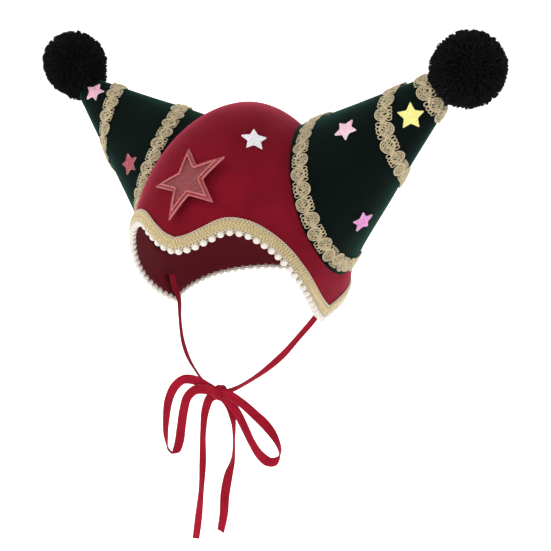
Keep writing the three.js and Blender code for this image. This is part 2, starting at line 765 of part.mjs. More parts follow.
hat.add(piece("big_star", bigStarPlate(), GLITTER_RED));
hat.add(piece("big_star_edge", bigStarEdge(), GLITTER_RED));
for (const row of HOOD_STARS) {
  const place = hoodPlace(row.angle, TOP - CROWN_HEIGHT * row.depth);
  const layer = hoodLayer(GAP, GAP + STAR_THICKNESS);
  const geometry = star(starShape(row.size * STAR_RADIUS), place, row.spin, layer);
  hat.add(piece(row.name, geometry, { ...GLITTER, color: row.colour }));
}
for (const row of HORN_STARS) {
  const horn = HORNS[row.horn];
  const place = hornPlace(horn, row.turn, row.height);
  const layer = hornLayer(horn, GAP, GAP + STAR_THICKNESS);
  const geometry = star(starShape(row.size * STAR_RADIUS), place, row.spin, layer);
  hat.add(piece(row.name, geometry, { ...GLITTER, color: row.colour }));
}

const knotRoom = knotForm(GAP);
hat.add(piece("bow_knot", geometryOf(knotForm(0)), RIBBON_RED));
const RIBBONS = [
  { name: "chin_strap_left", route: STRAP_ROUTE, steps: 8 },
  { name: "chin_strap_right", route: RIGHT_STRAP_ROUTE, steps: 8 },
  { name: "bow_loop_left", route: LEFT_LOOP_ROUTE, steps: 14 },
  { name: "bow_loop_right", route: RIGHT_LOOP_ROUTE, steps: 15 },
  { name: "bow_tail_left", route: LEFT_TAIL_ROUTE, steps: 9 },
  { name: "bow_tail_right", route: RIGHT_TAIL_ROUTE, steps: 8 },
];
for (const { name, route, steps } of RIBBONS)
  hat.add(piece(name, geometryOf(ribbon(route, steps).subtract(knotRoom)), RIBBON_RED));

export default hat;
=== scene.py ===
import math

import bmesh
import bpy
import numpy as np
from mathutils import Matrix, Vector
from mathutils.bvhtree import BVHTree


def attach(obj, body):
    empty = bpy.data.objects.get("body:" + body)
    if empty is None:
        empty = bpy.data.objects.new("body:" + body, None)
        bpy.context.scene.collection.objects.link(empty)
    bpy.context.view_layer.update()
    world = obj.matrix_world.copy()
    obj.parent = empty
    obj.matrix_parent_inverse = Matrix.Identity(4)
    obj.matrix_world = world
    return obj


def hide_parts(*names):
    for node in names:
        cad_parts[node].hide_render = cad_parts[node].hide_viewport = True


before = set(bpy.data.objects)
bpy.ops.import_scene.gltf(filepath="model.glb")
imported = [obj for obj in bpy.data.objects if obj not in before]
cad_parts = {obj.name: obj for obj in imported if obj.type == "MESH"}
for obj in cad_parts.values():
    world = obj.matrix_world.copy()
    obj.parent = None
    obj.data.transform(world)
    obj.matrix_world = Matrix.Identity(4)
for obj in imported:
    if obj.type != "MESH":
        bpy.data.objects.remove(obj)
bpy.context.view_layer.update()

MM = 0.001

# Sizes of the hood, in millimetres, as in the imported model. +Z is up, the face looks along -Y.
HALF_WIDTH = 82.5
FRONT_REACH = 102.5
BACK_REACH = 96.5
CROWN_HEIGHT = 128.0
RIM_DEPTH = 166.5
HOOD_WALL = 2.4
TOP = HOOD_WALL
CROWN_FULLNESS = 1.92
PLAN_FULLNESS = 2.29
DRAW_IN_HEIGHT = 86.4
FRONT_DRAW_IN = 0.66
BACK_DRAW_IN = 0.49
FLAP_ANGLE = 93.0
# Degrees round from the forehead against depth as a share of RIM_DEPTH
FRONT_RIM = [
    (0, 0.664), (7, 0.643), (14, 0.606), (22, 0.565), (30, 0.569), (38, 0.604),
    (47, 0.667), (57, 0.762), (70, 0.886), (82, 0.96), (FLAP_ANGLE, 1),
]
BACK_RIM = [(FLAP_ANGLE, 1), (110, 0.955), (135, 0.896), (160, 0.862), (180, 0.855)]

# Horns
HORN_WALL = 2.0
HORN_TIP_RADIUS = 11.9
HORN_TIP_OUT = 165.4
HORN_TIP_BACK = 2.8
SEAM_BACK = 22.5
SEAM_DEPTH = 75.0
SEAM_FRONT_REACH = 66.0
SEAM_BACK_REACH = 36.5
SEAM_HALF_HEIGHT = 58.0
SEAM_LEAN = 4.0
SEAM_SAMPLES = 24
POMPOM_RADIUS = 29.0
HORNS = {
    "left": {"sign": 1, "tip_out": 0.969, "tip_rise": 0.0877, "reach": 0.848, "tilt": -10.8, "start": 0.16},
    "right": {"sign": -1, "tip_out": 1, "tip_rise": 0.0357, "reach": 0.952, "tilt": 16.4, "start": 0.92},
}
# Turns round a horn against the height up it of the middle of the scroll braid
SCROLL_WINDING = {
    "left": [
        (0.16, 0.955), (0.5, 0.95), (0.75, 0.92), (1, 0.86), (1.25, 0.765), (1.38, 0.7), (1.5, 0.652),
        (1.62, 0.63), (1.75, 0.58), (2, 0.38), (2.25, 0.16), (2.33, 0.11), (2.42, 0.075), (2.5, 0.06),
    ],
    "right": [
        (0.16, 0.955), (0.5, 0.915), (0.75, 0.905), (1, 0.89), (1.25, 0.814), (1.38, 0.714), (1.5, 0.623),
        (1.62, 0.57), (1.75, 0.527), (2, 0.44), (2.25, 0.307), (2.33, 0.183), (2.42, 0.083), (2.5, 0.06),
    ],
}
SEAM_SCROLL_HEIGHT = 0.06  # of the braid's middle where it lies over the seam

# Rim trim
RIM_BRAID_WIDTH = 7.6
PLAIT_PITCH = 7.6
EDGE_LOOP_PITCH = 2.7
PEARL_DIAMETER = 5.8
PEARL_PITCH = 7.0
PEARL_TUCK = 0.9  # how far the pearls are drawn up under the braid
GAP = 0.3

# Stars
STAR_RADIUS = 10.5
STAR_THICKNESS = 1.6
STAR_WAIST = 0.5
BIG_STAR = {
    "radius": 33.0, "thickness": 1.8, "waist": 0.41, "dish": 150.0, "edge": 0.84, "inside": 0.7,
    "height": 0.9, "angle": 2.0, "depth": 0.487, "lift": 3.6, "facing": -9.0, "tilt": 32.0, "spin": -29.0,
}
HORN_STARS = {
    "star_pale_pink": ("left", 0.403, 0.41, 0.905, -16, "glitter_pale_pink"),
    "star_yellow": ("left", 0.536, 0.815, 1, 5, "glitter_yellow"),
    "star_orchid": ("left", 0.661, 0.295, 0.905, 24, "glitter_orchid"),
    "star_pink": ("right", 0.414, 0.89, 0.9, -9, "glitter_pink"),
    "star_red": ("right", 0.486, 0.25, 0.905, 24, "glitter_scarlet"),
}
SILVER_STAR_ANGLE = 34.8
SILVER_STAR_DEPTH = 0.229

# Ribbon
RIBBON_WIDTH = 7.6
RIBBON_THICKNESS = 1.2
KNOT = np.array([9.0, -46.0, -227.0])
KNOT_CORE = 4.5  # the ribbons end this near to the middle of the knot, inside it
# Cut length and far end of each ribbon, and the points of its route, each with the compass direction
# that its flat faces there and how far that is tipped up
RIBBONS = {
    "chin_strap_left": (117, "knot", [
        (74.2, 3, -146, 90, 0), (71.5, 3, -155, 90, 0), (65.6, 2, -166, 85, -5), (58, -8, -180, 70, -15),
        (49, -18, -195, 60, -30), (39, -27, -207, 50, -42), (29, -34, -216, 40, -52),
        (19, -40, -223, 30, -60), (9, -42, -227, 20, -60),
    ]),
    "chin_strap_right": (131, "knot", [
        (-74.2, 3, -146, -90, 0), (-71.5, 3, -155, -90, 0), (-65.6, 2, -166, -88, -5),
        (-57, -8, -180, -75, -15), (-47, -18, -195, -60, -30), (-35, -27, -207, -50, -42),
        (-22, -34, -216, -40, -52), (-8, -40, -223, -30, -60), (9, -42, -227, -20, -60),
    ]),
    "bow_loop_left": (151, "object", [
        (9, -50, -226, 0, 0), (20, -50, -226, 5, 0), (31, -50, -230, 15, 0), (43, -50, -237, 28, 0),
        (55, -49, -246, 50, 0), (63, -48, -256, 85, 0), (66, -47, -265, 112, 0), (63, -47, -272, 140, -10),
        (56, -47, -274, 165, -35), (48, -47, -270, 175, -15), (40, -47, -261, 178, 0),
        (33, -47, -250, 180, 0), (26, -47, -240, 180, 0), (18, -47, -232, 180, 0), (9, -47, -228, 180, 0),
    ]),
    "bow_loop_right": (184, "object", [
        (9, -50, -226, 0, 0), (-3, -50, -225, 0, 0), (-12, -50, -227, 0, -5), (-19, -50, -234, 5, 0),
        (-23, -49, -246, 10, 0), (-25, -49, -260, 18, 0), (-27, -49, -274, 50, -15), (-31, -49, -283, 0, -85),
        (-37, -49, -281, -60, -15), (-40, -49, -270, -20, 0), (-40, -49, -255, -8, 0), (-38, -49, -240, 0, 0),
        (-33, -48, -228, 5, 0), (-25, -47, -221, 5, 15), (-13, -47, -220, 0, 5), (-2, -47, -223, 0, 0),
        (9, -47, -227, 0, 0),
    ]),
    "bow_tail_left": (117, "bare", [
        (9, -44.5, -228, 0, 0), (17, -43, -237, 50, 0), (20, -42, -250, 100, 0), (21, -42, -264, 112, 0),
        (20, -41, -279, 95, 0), (16, -41, -295, 55, 0), (13, -40, -312, 20, 0), (12, -39, -328, 0, 0),
        (9, -38, -344, -8, 0),
    ]),
    "bow_tail_right": (125, "bare", [
        (9, -44.5, -228, 0, 0), (0, -45, -232, 0, 0), (-4, -46, -243, -8, 0), (-5, -47, -262, -14, 0),
        (-4, -48, -285, -18, 0), (-4, -49, -308, -20, 0), (-5, -50, -330, -16, 0), (-7, -50, -350, -10, 0),
    ]),
}

# The camera stands where the photograph was taken from: degrees, and millimetres from what it looks at
CAMERA_AZIMUTH = 29.35
CAMERA_ELEVATION = 8.33
CAMERA_ROLL = 2.17
CAMERA_DISTANCE = 885.4
CAMERA_SIDEWAYS = 25.7
CAMERA_HEIGHT = -137.8
FOCAL_PIXELS = 1079.0
IMAGE_PIXELS = 551.0
FLOOR_HEIGHT = -400.0
# Distance from the middle of the floor against its rise
FLOOR_CURVE = [
    (600, 0), (1200, 0), (1700, 0), (2200, 0), (2600, 60), (2950, 220), (3200, 470), (3380, 800),
    (3500, 1300), (3500, 3000),
]
FLOOR_SPOKES = 72


def unit(vectors):
    """Vectors made one long."""
    return vectors / np.linalg.norm(vectors, axis=-1, keepdims=True)


def run_length(points):
    """Length along a line from its start to each of its points."""
    return np.concatenate([[0], np.cumsum(np.linalg.norm(np.diff(points, axis=0), axis=1))])


def read_off(places, length, rows):
    """Rows as they are at places along a length."""
    return np.stack([np.interp(places, length, column) for column in rows.T], axis=-1)


# Surfaces

HOOD_WAVE = 0.7  # height of the soft unevenness of the hood's cloth
HORN_WAVE = 0.9


def smooth_value(rows, place):
    """Value at a place on a smooth curve through rows of place and value."""
    places, values = np.array(rows, float).T
    last = len(rows) - 1
    ends = np.arange(last + 1)
    after, before = np.minimum(ends + 1, last), np.maximum(ends - 1, 0)
    slopes = (values[after] - values[before]) / (places[after] - places[before])
    i = np.clip(np.searchsorted(places, place, side="right") - 1, 0, last - 1)
    span = places[i + 1] - places[i]
    t = (place - places[i]) / span
    level = values[i] * (1 + 2 * t) * (1 - t) ** 2 + values[i + 1] * t * t * (3 - 2 * t)
    return level + slopes[i] * span * t * (1 - t) ** 2 + slopes[i + 1] * span * t * t * (t - 1)


def ripple(points, wavelength, seed):
    """Gentle waves through space, between -1 and 1."""
    rng = np.random.default_rng(seed)
    total = np.zeros(points.shape[:-1])
    waves = 7
    for _ in range(waves):
        direction = unit(rng.normal(size=3))
        turns = points @ direction / (wavelength * rng.uniform(0.7, 1.5)) + rng.uniform()
        total += np.sin(2 * np.pi * turns)
    return total / waves


def draw_in(z):
    """How far the hood is drawn in at a height, as shares of its front and back reach."""
    below = np.maximum(TOP - CROWN_HEIGHT - z, 0) / DRAW_IN_HEIGHT
    return 1 - FRONT_DRAW_IN * below**2, 1 - BACK_DRAW_IN * below**2


def crown_share(z, offset):
    """How wide the rounded crown is at a height, as a share of its widest."""
    up = np.clip((z - TOP + CROWN_HEIGHT) / (CROWN_HEIGHT + offset), 0, 1)
    return (1 - up**CROWN_FULLNESS) ** (1 / CROWN_FULLNESS)


def plain_hood_point(angle, z, offset=0.0):
    """Point of the even hood, at degrees round from the forehead and a height, moved out by an offset."""
    a = np.radians(angle)
    front, back = draw_in(z)
    across = HALF_WIDTH * front + offset
    along = np.where(np.cos(a) > 0, FRONT_REACH * front, BACK_REACH * back) + offset
    sideways = (np.abs(np.sin(a)) / across) ** PLAN_FULLNESS
    lengthways = (np.abs(np.cos(a)) / along) ** PLAN_FULLNESS
    radius = crown_share(z, offset) / (sideways + lengthways) ** (1 / PLAN_FULLNESS)
    return np.stack([radius * np.sin(a), -radius * np.cos(a), z + 0 * radius], axis=-1)


def hood_point(angle, z, offset=0.0):
    """Point of the hood's outside, moved out by an offset, with the unevenness of soft cloth."""
    point = plain_hood_point(angle, z, offset)
    away = unit(point - np.array([0, 0, TOP - CROWN_HEIGHT]))
    return point + away * (HOOD_WAVE * ripple(point, 70, 4))[..., None]


def crown_level(share, offset=0.0):
    """Height at a share of the way down from the top (0) through the widest level (1)."""
    widest = TOP - CROWN_HEIGHT
    quarter = np.minimum(share, 1) * np.pi / 2
    upper = widest + (CROWN_HEIGHT + offset) * np.cos(quarter) ** (2 / CROWN_FULLNESS)
    return np.where(share > 1, widest - (share - 1) * CROWN_HEIGHT * np.pi / 2, upper)


def share_of_level(z):
    """The share that crown_level turns into a height."""
    widest = TOP - CROWN_HEIGHT
    up = np.clip((z - widest) / CROWN_HEIGHT, 0, 1)
    upper = 2 / np.pi * np.arccos(up ** (CROWN_FULLNESS / 2))
    return np.where(z < widest, 1 + (widest - z) * 2 / (CROWN_HEIGHT * np.pi), upper)


def rim_height(angle):
    """Height of the rim at degrees round from the forehead."""
    round_ = np.abs((angle + 540) % 360 - 180)
    front, back = smooth_value(FRONT_RIM, round_), smooth_value(BACK_RIM, round_)
    return TOP - RIM_DEPTH * np.where(round_ < FLAP_ANGLE, front, back)


def seam_point(turn):
    """Point of a horn's seam on the hood, on the wearer's left."""
    a = turn * 2 * np.pi
    lean = math.radians(SEAM_LEAN)
    along = np.cos(a) * np.where(np.cos(a) < 0, SEAM_FRONT_REACH, SEAM_BACK_REACH)
    up = np.sin(a) * SEAM_HALF_HEIGHT
    y = SEAM_BACK + along * math.cos(lean) - up * math.sin(lean)
    z = TOP - SEAM_DEPTH + along * math.sin(lean) + up * math.cos(lean)
    front, back = draw_in(z)
    reach = np.where(y < 0, FRONT_REACH * front, BACK_REACH * back)
    plan = crown_share(z, 0) ** PLAN_FULLNESS - (np.abs(y) / reach) ** PLAN_FULLNESS
    return np.stack([HALF_WIDTH * front * plan ** (1 / PLAN_FULLNESS), y, z], axis=-1)


def horn_frame(side):
    """Middle of a horn's tip, its axis and cross directions, on the wearer's left before mirroring."""
    horn = HORNS[side]
    seam = seam_point(np.arange(SEAM_SAMPLES) / SEAM_SAMPLES)
    tip = np.array([horn["tip_out"] * HORN_TIP_OUT, HORN_TIP_BACK, TOP + horn["tip_rise"] * HORN_TIP_OUT])
    axis = unit(tip - seam.mean(axis=0))
    back = unit(np.array([0.0, 1.0, 0.0]) - axis * axis[1])
    up = np.cross(axis, back)
    return tip, axis, back, up if up[2] > 0 else -up


def horn_line(side, turn, height):
    """Point of the straight line from a horn's seam to its tip, on the wearer's left."""
    tip, _, back, up = horn_frame(side)
    a = (turn * 2 * np.pi)[..., None]
    end = tip + HORN_TIP_RADIUS * (back * np.cos(a) + up * np.sin(a))
    seam = seam_point(turn)
    return seam + (end - seam) * height[..., None]


def horn_place(side, turn, height, offset=0.0):
    """Point of a horn's cloth moved out by an offset, and the way out."""
    turn, height = np.broadcast_arrays(np.asarray(turn, float), np.asarray(height, float))
    step = 0.004
    point = horn_line(side, turn, height)
    around = horn_line(side, turn + step, height) - horn_line(side, turn - step, height)
    rise = horn_line(side, turn, np.ones_like(turn)) - horn_line(side, turn, np.zeros_like(turn))
    out = unit(np.cross(rise, around))
    tip, axis, _, _ = horn_frame(side)
    away = point - tip
    away = away - axis * (away @ axis)[..., None]
    out = out * np.where(np.sum(out * away, axis=-1) < 0, -1, 1)[..., None]
    waves = HORN_WAVE * ripple(point + HORNS[side]["sign"] * 300, 60, 9)
    fade = np.clip(height * 8, 0, 1) * np.clip((1 - height) * 8, 0, 1)
    point = point + out * (offset + waves * fade)[..., None]
    flip = np.array([HORNS[side]["sign"], 1, 1])
    return point * flip, out * flip


# Meshes

class Shape:
    """Points and faces in millimetres, gathered into one mesh, with the number of each face's material."""

    def __init__(self):
        self.points, self.faces, self.count = [], [], 0

    def add(self, points, faces, material=0):
        points = np.asarray(points, float).reshape(-1, 3)
        for group in faces if isinstance(faces, list) else [faces]:
            self.faces.append((np.asarray(group, int) + self.count, material))
        self.points.append(points)
        self.count += len(points)

    def make(self, name, slot, materials):
        points = np.concatenate(self.points) * MM
        groups = [(f, m) for f, m in self.faces if len(f)]
        sizes = np.concatenate([np.full(len(f), f.shape[1]) for f, _ in groups])
        corners = np.concatenate([f.ravel() for f, _ in groups])
        mesh = bpy.data.meshes.new(name)
        mesh.vertices.add(len(points))
        mesh.vertices.foreach_set("co", points.astype(np.float32).ravel())
        mesh.loops.add(len(corners))
        mesh.loops.foreach_set("vertex_index", corners.astype(np.int32))
        mesh.polygons.add(len(sizes))
        mesh.polygons.foreach_set("loop_start", (np.cumsum(sizes) - sizes).astype(np.int32))
        numbers = np.concatenate([np.full(len(f), m) for f, m in groups])
        mesh.polygons.foreach_set("material_index", numbers.astype(np.int32))
        mesh.update(calc_edges=True)
        mesh.validate()
        mesh.shade_smooth()
        piece = bpy.data.objects.new(name, mesh)
        bpy.context.scene.collection.objects.link(piece)
        for material in materials:
            mesh.materials.append(material)
        return piece


def grid_faces(rows, columns, closed_rows=False, closed_columns=False):
    """Four-sided faces of a grid of points that is numbered row by row."""
    i = np.arange(rows if closed_rows else rows - 1)[:, None]
    j = np.arange(columns if closed_columns else columns - 1)[None, :]
    after_i, after_j = (i + 1) % rows, (j + 1) % columns
    quads = [i * columns + j, i * columns + after_j, after_i * columns + after_j, after_i * columns + j]
    return np.stack([q + 0 * (i + j) for q in quads], axis=-1).reshape(-1, 4)


def fan(ring, middle, flipped=False):
    """Three-sided faces from a ring of point numbers to a middle one."""
    after = np.roll(ring, -1)
    return np.stack([*((after, ring) if flipped else (ring, after)), 0 * ring + middle], axis=-1)


def volume_of(points, faces):
    """Six times the volume inside faces, below zero where they face in."""
    total = 0.0
    for group in faces:
        a = points[group[:, 0]]
        for k in range(1, group.shape[1] - 1):
            total += np.sum(np.cross(a, points[group[:, k]]) * points[group[:, k + 1]])
    return total


def facing_out(points, faces):
    """Groups of faces, turned over where they face in."""
    return faces if volume_of(points, faces) > 0 else [group[:, ::-1] for group in faces]


def tube(points, outs, radius, sides=5, closed=False):
    """Tube along points whose outs lead off the surface below it."""
    if closed:
        along = np.roll(points, -1, axis=0) - np.roll(points, 1, axis=0)
    else:
        along = np.gradient(points, axis=0)
    along = unit(along)
    side = unit(np.cross(along, outs))
    up = np.cross(side, along)
    a = (2 * np.pi * np.arange(sides) / sides)[None, :, None]
    width = np.broadcast_to(np.asarray(radius, float), len(points))[:, None, None]
    rings = points[:, None] + width * (up[:, None] * np.cos(a) + side[:, None] * np.sin(a))
    faces = [grid_faces(len(points), sides, closed_rows=closed, closed_columns=True)]
    if not closed:
        first = np.arange(sides)[None, ::-1]
        faces.append(np.concatenate([first, first[:, ::-1] + (len(points) - 1) * sides]))
    return rings.reshape(-1, 3), faces


def ball(segments, rings):
    """Round ball of radius 1 as points and faces."""
    rise = np.pi * np.arange(1, rings) / rings
    a = 2 * np.pi * np.arange(segments) / segments
    body = np.stack(
        [
            np.sin(rise)[:, None] * np.cos(a),
            np.sin(rise)[:, None] * np.sin(a),
            np.cos(rise)[:, None] + 0 * a,
        ],
        axis=-1,
    ).reshape(-1, 3)
    points = np.concatenate([body, [[0, 0, 1], [0, 0, -1]]])
    quads = grid_faces(rings - 1, segments, closed_columns=True)
    ring = np.arange(segments)
    top, bottom = fan(ring, len(body)), fan((rings - 2) * segments + ring, len(body) + 1, True)
    return points, facing_out(points, [quads, top, bottom])


def sharpen(piece, degrees):
    """Shades the piece smooth apart from its edges that turn by more than some degrees."""
    mesh = bmesh.new()
    mesh.from_mesh(piece.data)
    limit = math.radians(degrees)
    for edge in mesh.edges:
        edge.smooth = len(edge.link_faces) == 2 and edge.calc_face_angle(0) < limit
    mesh.to_mesh(piece.data)
    mesh.free()


def tree_of(*pieces):
    """Search tree over the faces of pieces whose points are in the frame's own metres."""
    shape = bmesh.new()
    for piece in pieces:
        shape.from_mesh(piece.data)
    tree = BVHTree.FromBMesh(shape)
    shape.free()
    return tree


# Materials

class Look:
    """A material's shader and the nodes that feed it."""

    def __init__(self, name, **values):
        self.material = bpy.data.materials.new(name)
        self.material.use_nodes = True
        self.nodes = self.material.node_tree.nodes
        self.links = self.material.node_tree.links
        self.shader = self.nodes["Principled BSDF"]
        for socket, value in values.items():
            self.shader.inputs[socket.replace("_", " ")].default_value = value
        self.place = self.nodes.new("ShaderNodeTexCoord").outputs["Object"]

    def node(self, kind, settings=None, **inputs):
        node = self.nodes.new("ShaderNode" + kind)
        for name, value in (settings or {}).items():
            setattr(node, name, value)
        for name, value in inputs.items():
            socket = node.inputs[name.replace("_", " ")]
            if isinstance(value, bpy.types.NodeSocket):
                self.links.new(value, socket)
            else:
                socket.default_value = value
        return node

    def stretched(self, sideways, lengthways, upwards):
        scale = (sideways, lengthways, upwards)
        return self.node("Mapping", Vector=self.place, Scale=scale).outputs["Vector"]

    def noise(self, scale, detail=2.0, roughness=0.5, place=None):
        grain = {"Scale": scale, "Detail": detail, "Roughness": roughness}
        return self.node("TexNoise", Vector=place or self.place, **grain).outputs["Fac"]

    def ramp(self, value, *stops):
        node = self.node("ValToRGB", Fac=value)
        elements = node.color_ramp.elements
        while len(elements) < len(stops):
            elements.new(0.5)
        for element, (position, colour) in zip(elements, stops):
            element.position = position
            element.color = colour if len(colour) == 4 else (*colour, 1)
        return node.outputs["Color"]

    def feed(self, socket, output):
        self.links.new(output, self.shader.inputs[socket])

    def bump(self, height, strength, distance, under=None):
        node = self.node("Bump", Height=height, Strength=strength, Distance=distance)
        if under is not None:
            self.links.new(under, node.inputs["Normal"])
        self.feed("Normal", node.outputs["Normal"])
        return node.outputs["Normal"]


def grey(level):
    return (level, level, level)


def plain(name, colour, roughness, **values):
    """Surface of one even colour."""
    return Look(name, Base_Color=(*colour, 1), Roughness=roughness, **values).material


def velvet(name, dark, light, sheen, nap=0.5):
    """Pile cloth: dark face on, with its sheen where it turns away, and faint streaks down its nap."""
    look = Look(name, Roughness=0.95, Sheen_Weight=0.7, Sheen_Roughness=0.34, Sheen_Tint=(*sheen, 1))
    look.shader.inputs["Specular IOR Level"].default_value = 0.06
    patches = look.noise(26, 3, 0.55)
    streaks = look.noise(1, 4, 0.6, look.stretched(240, 240, 30))
    mixed = look.node("Math", {"operation": "MULTIPLY_ADD"}, Value=streaks)
    mixed.inputs[1].default_value = nap
    look.links.new(patches, mixed.inputs[2])
    look.feed("Base Color", look.ramp(mixed.outputs["Value"], (0.35, dark), (0.85, light)))
    soft = look.bump(look.noise(90, 2, 0.5), 0.12, 0.001)
    look.bump(look.noise(2600, 2, 0.7), 0.4, 0.0002, soft)
    return look.material


def painted_shade_cord_look(name, dark, light, metallic, roughness, grain=2600):
    """Wound thread: fine turns coloured bright as a painted highlight, with painted shade in the gaps between
    them.
    """
    look = Look(name, Metallic=metallic, Roughness=roughness, Sheen_Weight=0.25)
    turns = look.noise(grain, 3, 0.7)
    # dark is painted shade for the gaps between the turns, light is a painted highlight on the turns
    look.feed("Base Color", look.ramp(turns, (0.34, dark), (0.6, light)))
    look.bump(turns, 0.5, 0.0003)
    return look.material


def glitter(name, dark, light, painted_glint=0.2):
    """Flakes of glitter, each at a tilt and brightness of its own; the palest flakes carry a painted glint in
    their colour.
    """
    look = Look(name, Metallic=0.35, Roughness=0.4)
    flakes = look.node("TexVoronoi", Vector=look.place, Scale=2400.0, Randomness=1.0)
    parts = look.node("SeparateColor", Color=flakes.outputs["Color"])
    # bright is a painted glint: the top of the ramp lifts some flakes' colour towards white
    bright = tuple(0.7 * level + painted_glint for level in light)
    look.feed("Base Color", look.ramp(parts.outputs["Red"], (0.05, dark), (0.75, light), (1.0, bright)))
    look.feed("Roughness", look.ramp(parts.outputs["Green"], (0, grey(0.25)), (1, grey(0.6))))
    tilt = look.node("Math", {"operation": "MULTIPLY"}, Value=parts.outputs["Blue"])
    look.links.new(look.noise(2600, 1, 0.5), tilt.inputs[1])
    look.bump(tilt.outputs["Value"], 1.0, 0.0011)
    return look.material


def foam(name, colour):
    """Cut edge of foam sheet, with its fine cells."""
    look = Look(name, Roughness=0.75, Base_Color=(*colour, 1))
    look.bump(look.noise(1400, 2, 0.6), 0.3, 0.0003)
    return look.material


VELVET_RED = velvet("velvet_red", (0.085, 0.0018, 0.005), (0.15, 0.0035, 0.011), (0.6, 0.085, 0.15), 0.25)
VELVET_GREEN = velvet("velvet_green", (0.0006, 0.0014, 0.0013), (0.001, 0.0032, 0.0027), (0.016, 0.14, 0.088))
RIBBON_RED = velvet("ribbon_red", (0.12, 0.002, 0.006), (0.24, 0.006, 0.018), (0.5, 0.07, 0.11))
RIBBON_WOVEN = plain("ribbon_woven", (0.2, 0.006, 0.014), 0.6, Specular_IOR_Level=0.2)
LINING_RED = plain("lining_red", (0.1, 0.003, 0.008), 0.7, Specular_IOR_Level=0.15)
LINING_GREEN = plain("lining_green", (0.004, 0.008, 0.006), 0.9, Specular_IOR_Level=0.1)
# The gold cords' dark and light colours are painted shade in the gaps and painted highlight on the turns
SCROLL_GOLD = painted_shade_cord_look("scroll_gold", (0.13, 0.095, 0.045), (0.6, 0.5, 0.3), 0.45, 0.38)
BRAID_GOLD = painted_shade_cord_look("braid_gold", (0.17, 0.11, 0.04), (0.62, 0.5, 0.27), 0.45, 0.38)
# Paler gold for the braid's outer edge loops, a painted highlight
BRAID_PAINTED_HIGHLIGHT = painted_shade_cord_look("braid_painted_highlight", (0.34, 0.28, 0.17), (0.6, 0.54, 0.4), 0.15, 0.45)
PEARL = plain("pearl", (0.5, 0.455, 0.4), 0.3, Coat_Weight=0.6, Coat_Roughness=0.06)
YARN_BLACK = plain("yarn_black", (0.0035, 0.0034, 0.004), 0.95, Specular_IOR_Level=0.12)
# The last number of a glitter is its painted glint, the lift towards white of its brightest flakes
GLITTER_RED = glitter("glitter_red", (0.2, 0.01, 0.016), (0.42, 0.03, 0.04), 0.12)
GLITTER_DEEP = glitter("glitter_deep", (0.13, 0.008, 0.012), (0.28, 0.03, 0.036), 0.07)
GLITTER_EDGE = glitter("glitter_red_edge", (0.36, 0.06, 0.06), (0.56, 0.16, 0.15))
GLITTERS = {
    "glitter_silver": ((0.5, 0.5, 0.53), (0.86, 0.84, 0.88)),
    "glitter_pale_pink": ((0.62, 0.3, 0.4), (0.9, 0.62, 0.7)),
    "glitter_yellow": ((0.7, 0.64, 0.17), (0.8, 0.76, 0.24)),
    "glitter_orchid": ((0.4, 0.08, 0.32), (0.75, 0.28, 0.6)),
    "glitter_pink": ((0.55, 0.2, 0.3), (0.85, 0.5, 0.6)),
    "glitter_scarlet": ((0.17, 0.008, 0.014), (0.42, 0.035, 0.05)),
}
FOAM_PALE = foam("foam_pale", (0.42, 0.2, 0.2))


# Camera, light and floor

def add_camera():
    """Camera where the photograph was taken from."""
    a, e, roll = (math.radians(x) for x in (CAMERA_AZIMUTH, CAMERA_ELEVATION, CAMERA_ROLL))
    back = Vector((math.sin(a) * math.cos(e), -math.cos(a) * math.cos(e), math.sin(e)))
    level = Vector((0, 0, 1)).cross(back).normalized()
    upright = back.cross(level)
    right = level * math.cos(roll) + upright * math.sin(roll)
    up = back.cross(right)
    target = level * CAMERA_SIDEWAYS + Vector((0, 0, CAMERA_HEIGHT))
    camera = bpy.data.objects.new("camera", bpy.data.cameras.new("camera"))
    camera.matrix_world = Matrix.Translation((target + back * CAMERA_DISTANCE) * MM) @ Matrix(
        [[right[k], up[k], back[k], 0] for k in range(3)] + [[0, 0, 0, 1]]
    )
    camera.data.sensor_width = 36
    camera.data.lens = 36 * FOCAL_PIXELS / IMAGE_PIXELS
    camera.data.clip_start, camera.data.clip_end = 0.05, 20
    bpy.context.scene.collection.objects.link(camera)
    bpy.context.scene.camera = camera


def add_light(name, place, size, power, target=(0, 0, -0.12)):
    """Square lamp that faces the hat. Place, size and target are in metres."""
    light = bpy.data.lights.new(name, "AREA")
    light.size, light.energy = size, power
    lamp = bpy.data.objects.new(name, light)
    lamp.location = place
    lamp.rotation_euler = (Vector(target) - Vector(place)).to_track_quat("-Z", "Y").to_euler()
    bpy.context.scene.collection.objects.link(lamp)


def add_studio():
    """Soft light from the sides and above, and a pale floor that curves up all round."""
    add_light("key", (-0.9, -1.5, 1.1), 1.2, 17)
    add_light("fill", (1.7, -1.0, 0.5), 1.4, 5)
    add_light("top", (0.1, 0.3, 1.7), 1.3, 11)
    add_light("back", (0.2, 1.7, 0.8), 1.2, 8)
    world = bpy.data.worlds.new("world")
    world.use_nodes = True
    world.node_tree.nodes["Background"].inputs["Color"].default_value = (0.95, 0.96, 1, 1)
    world.node_tree.nodes["Background"].inputs["Strength"].default_value = 0.4
    bpy.context.scene.world = world
    a = 2 * np.pi * np.arange(FLOOR_SPOKES) / FLOOR_SPOKES
    r, z = np.array(FLOOR_CURVE, float).T[:, :, None]
    z = z + FLOOR_HEIGHT
    rings = np.stack([r * np.cos(a), r * np.sin(a), z + 0 * a], axis=-1)
    points = np.concatenate([rings.reshape(-1, 3), [[0, 0, FLOOR_HEIGHT]]])
    shape = Shape()
    rounds = grid_faces(len(r), FLOOR_SPOKES, closed_columns=True)[:, ::-1]
    shape.add(points, [rounds, fan(np.arange(FLOOR_SPOKES), len(points) - 1)])
    backdrop = Look("backdrop", Base_Color=(0.9, 0.9, 0.9, 1), Roughness=0.9)
    backdrop.shader.inputs["Emission Color"].default_value = (1, 1, 1, 1)
    backdrop.shader.inputs["Emission Strength"].default_value = 0.55
    floor = shape.make("floor", None, [backdrop.material])


# Ribbons

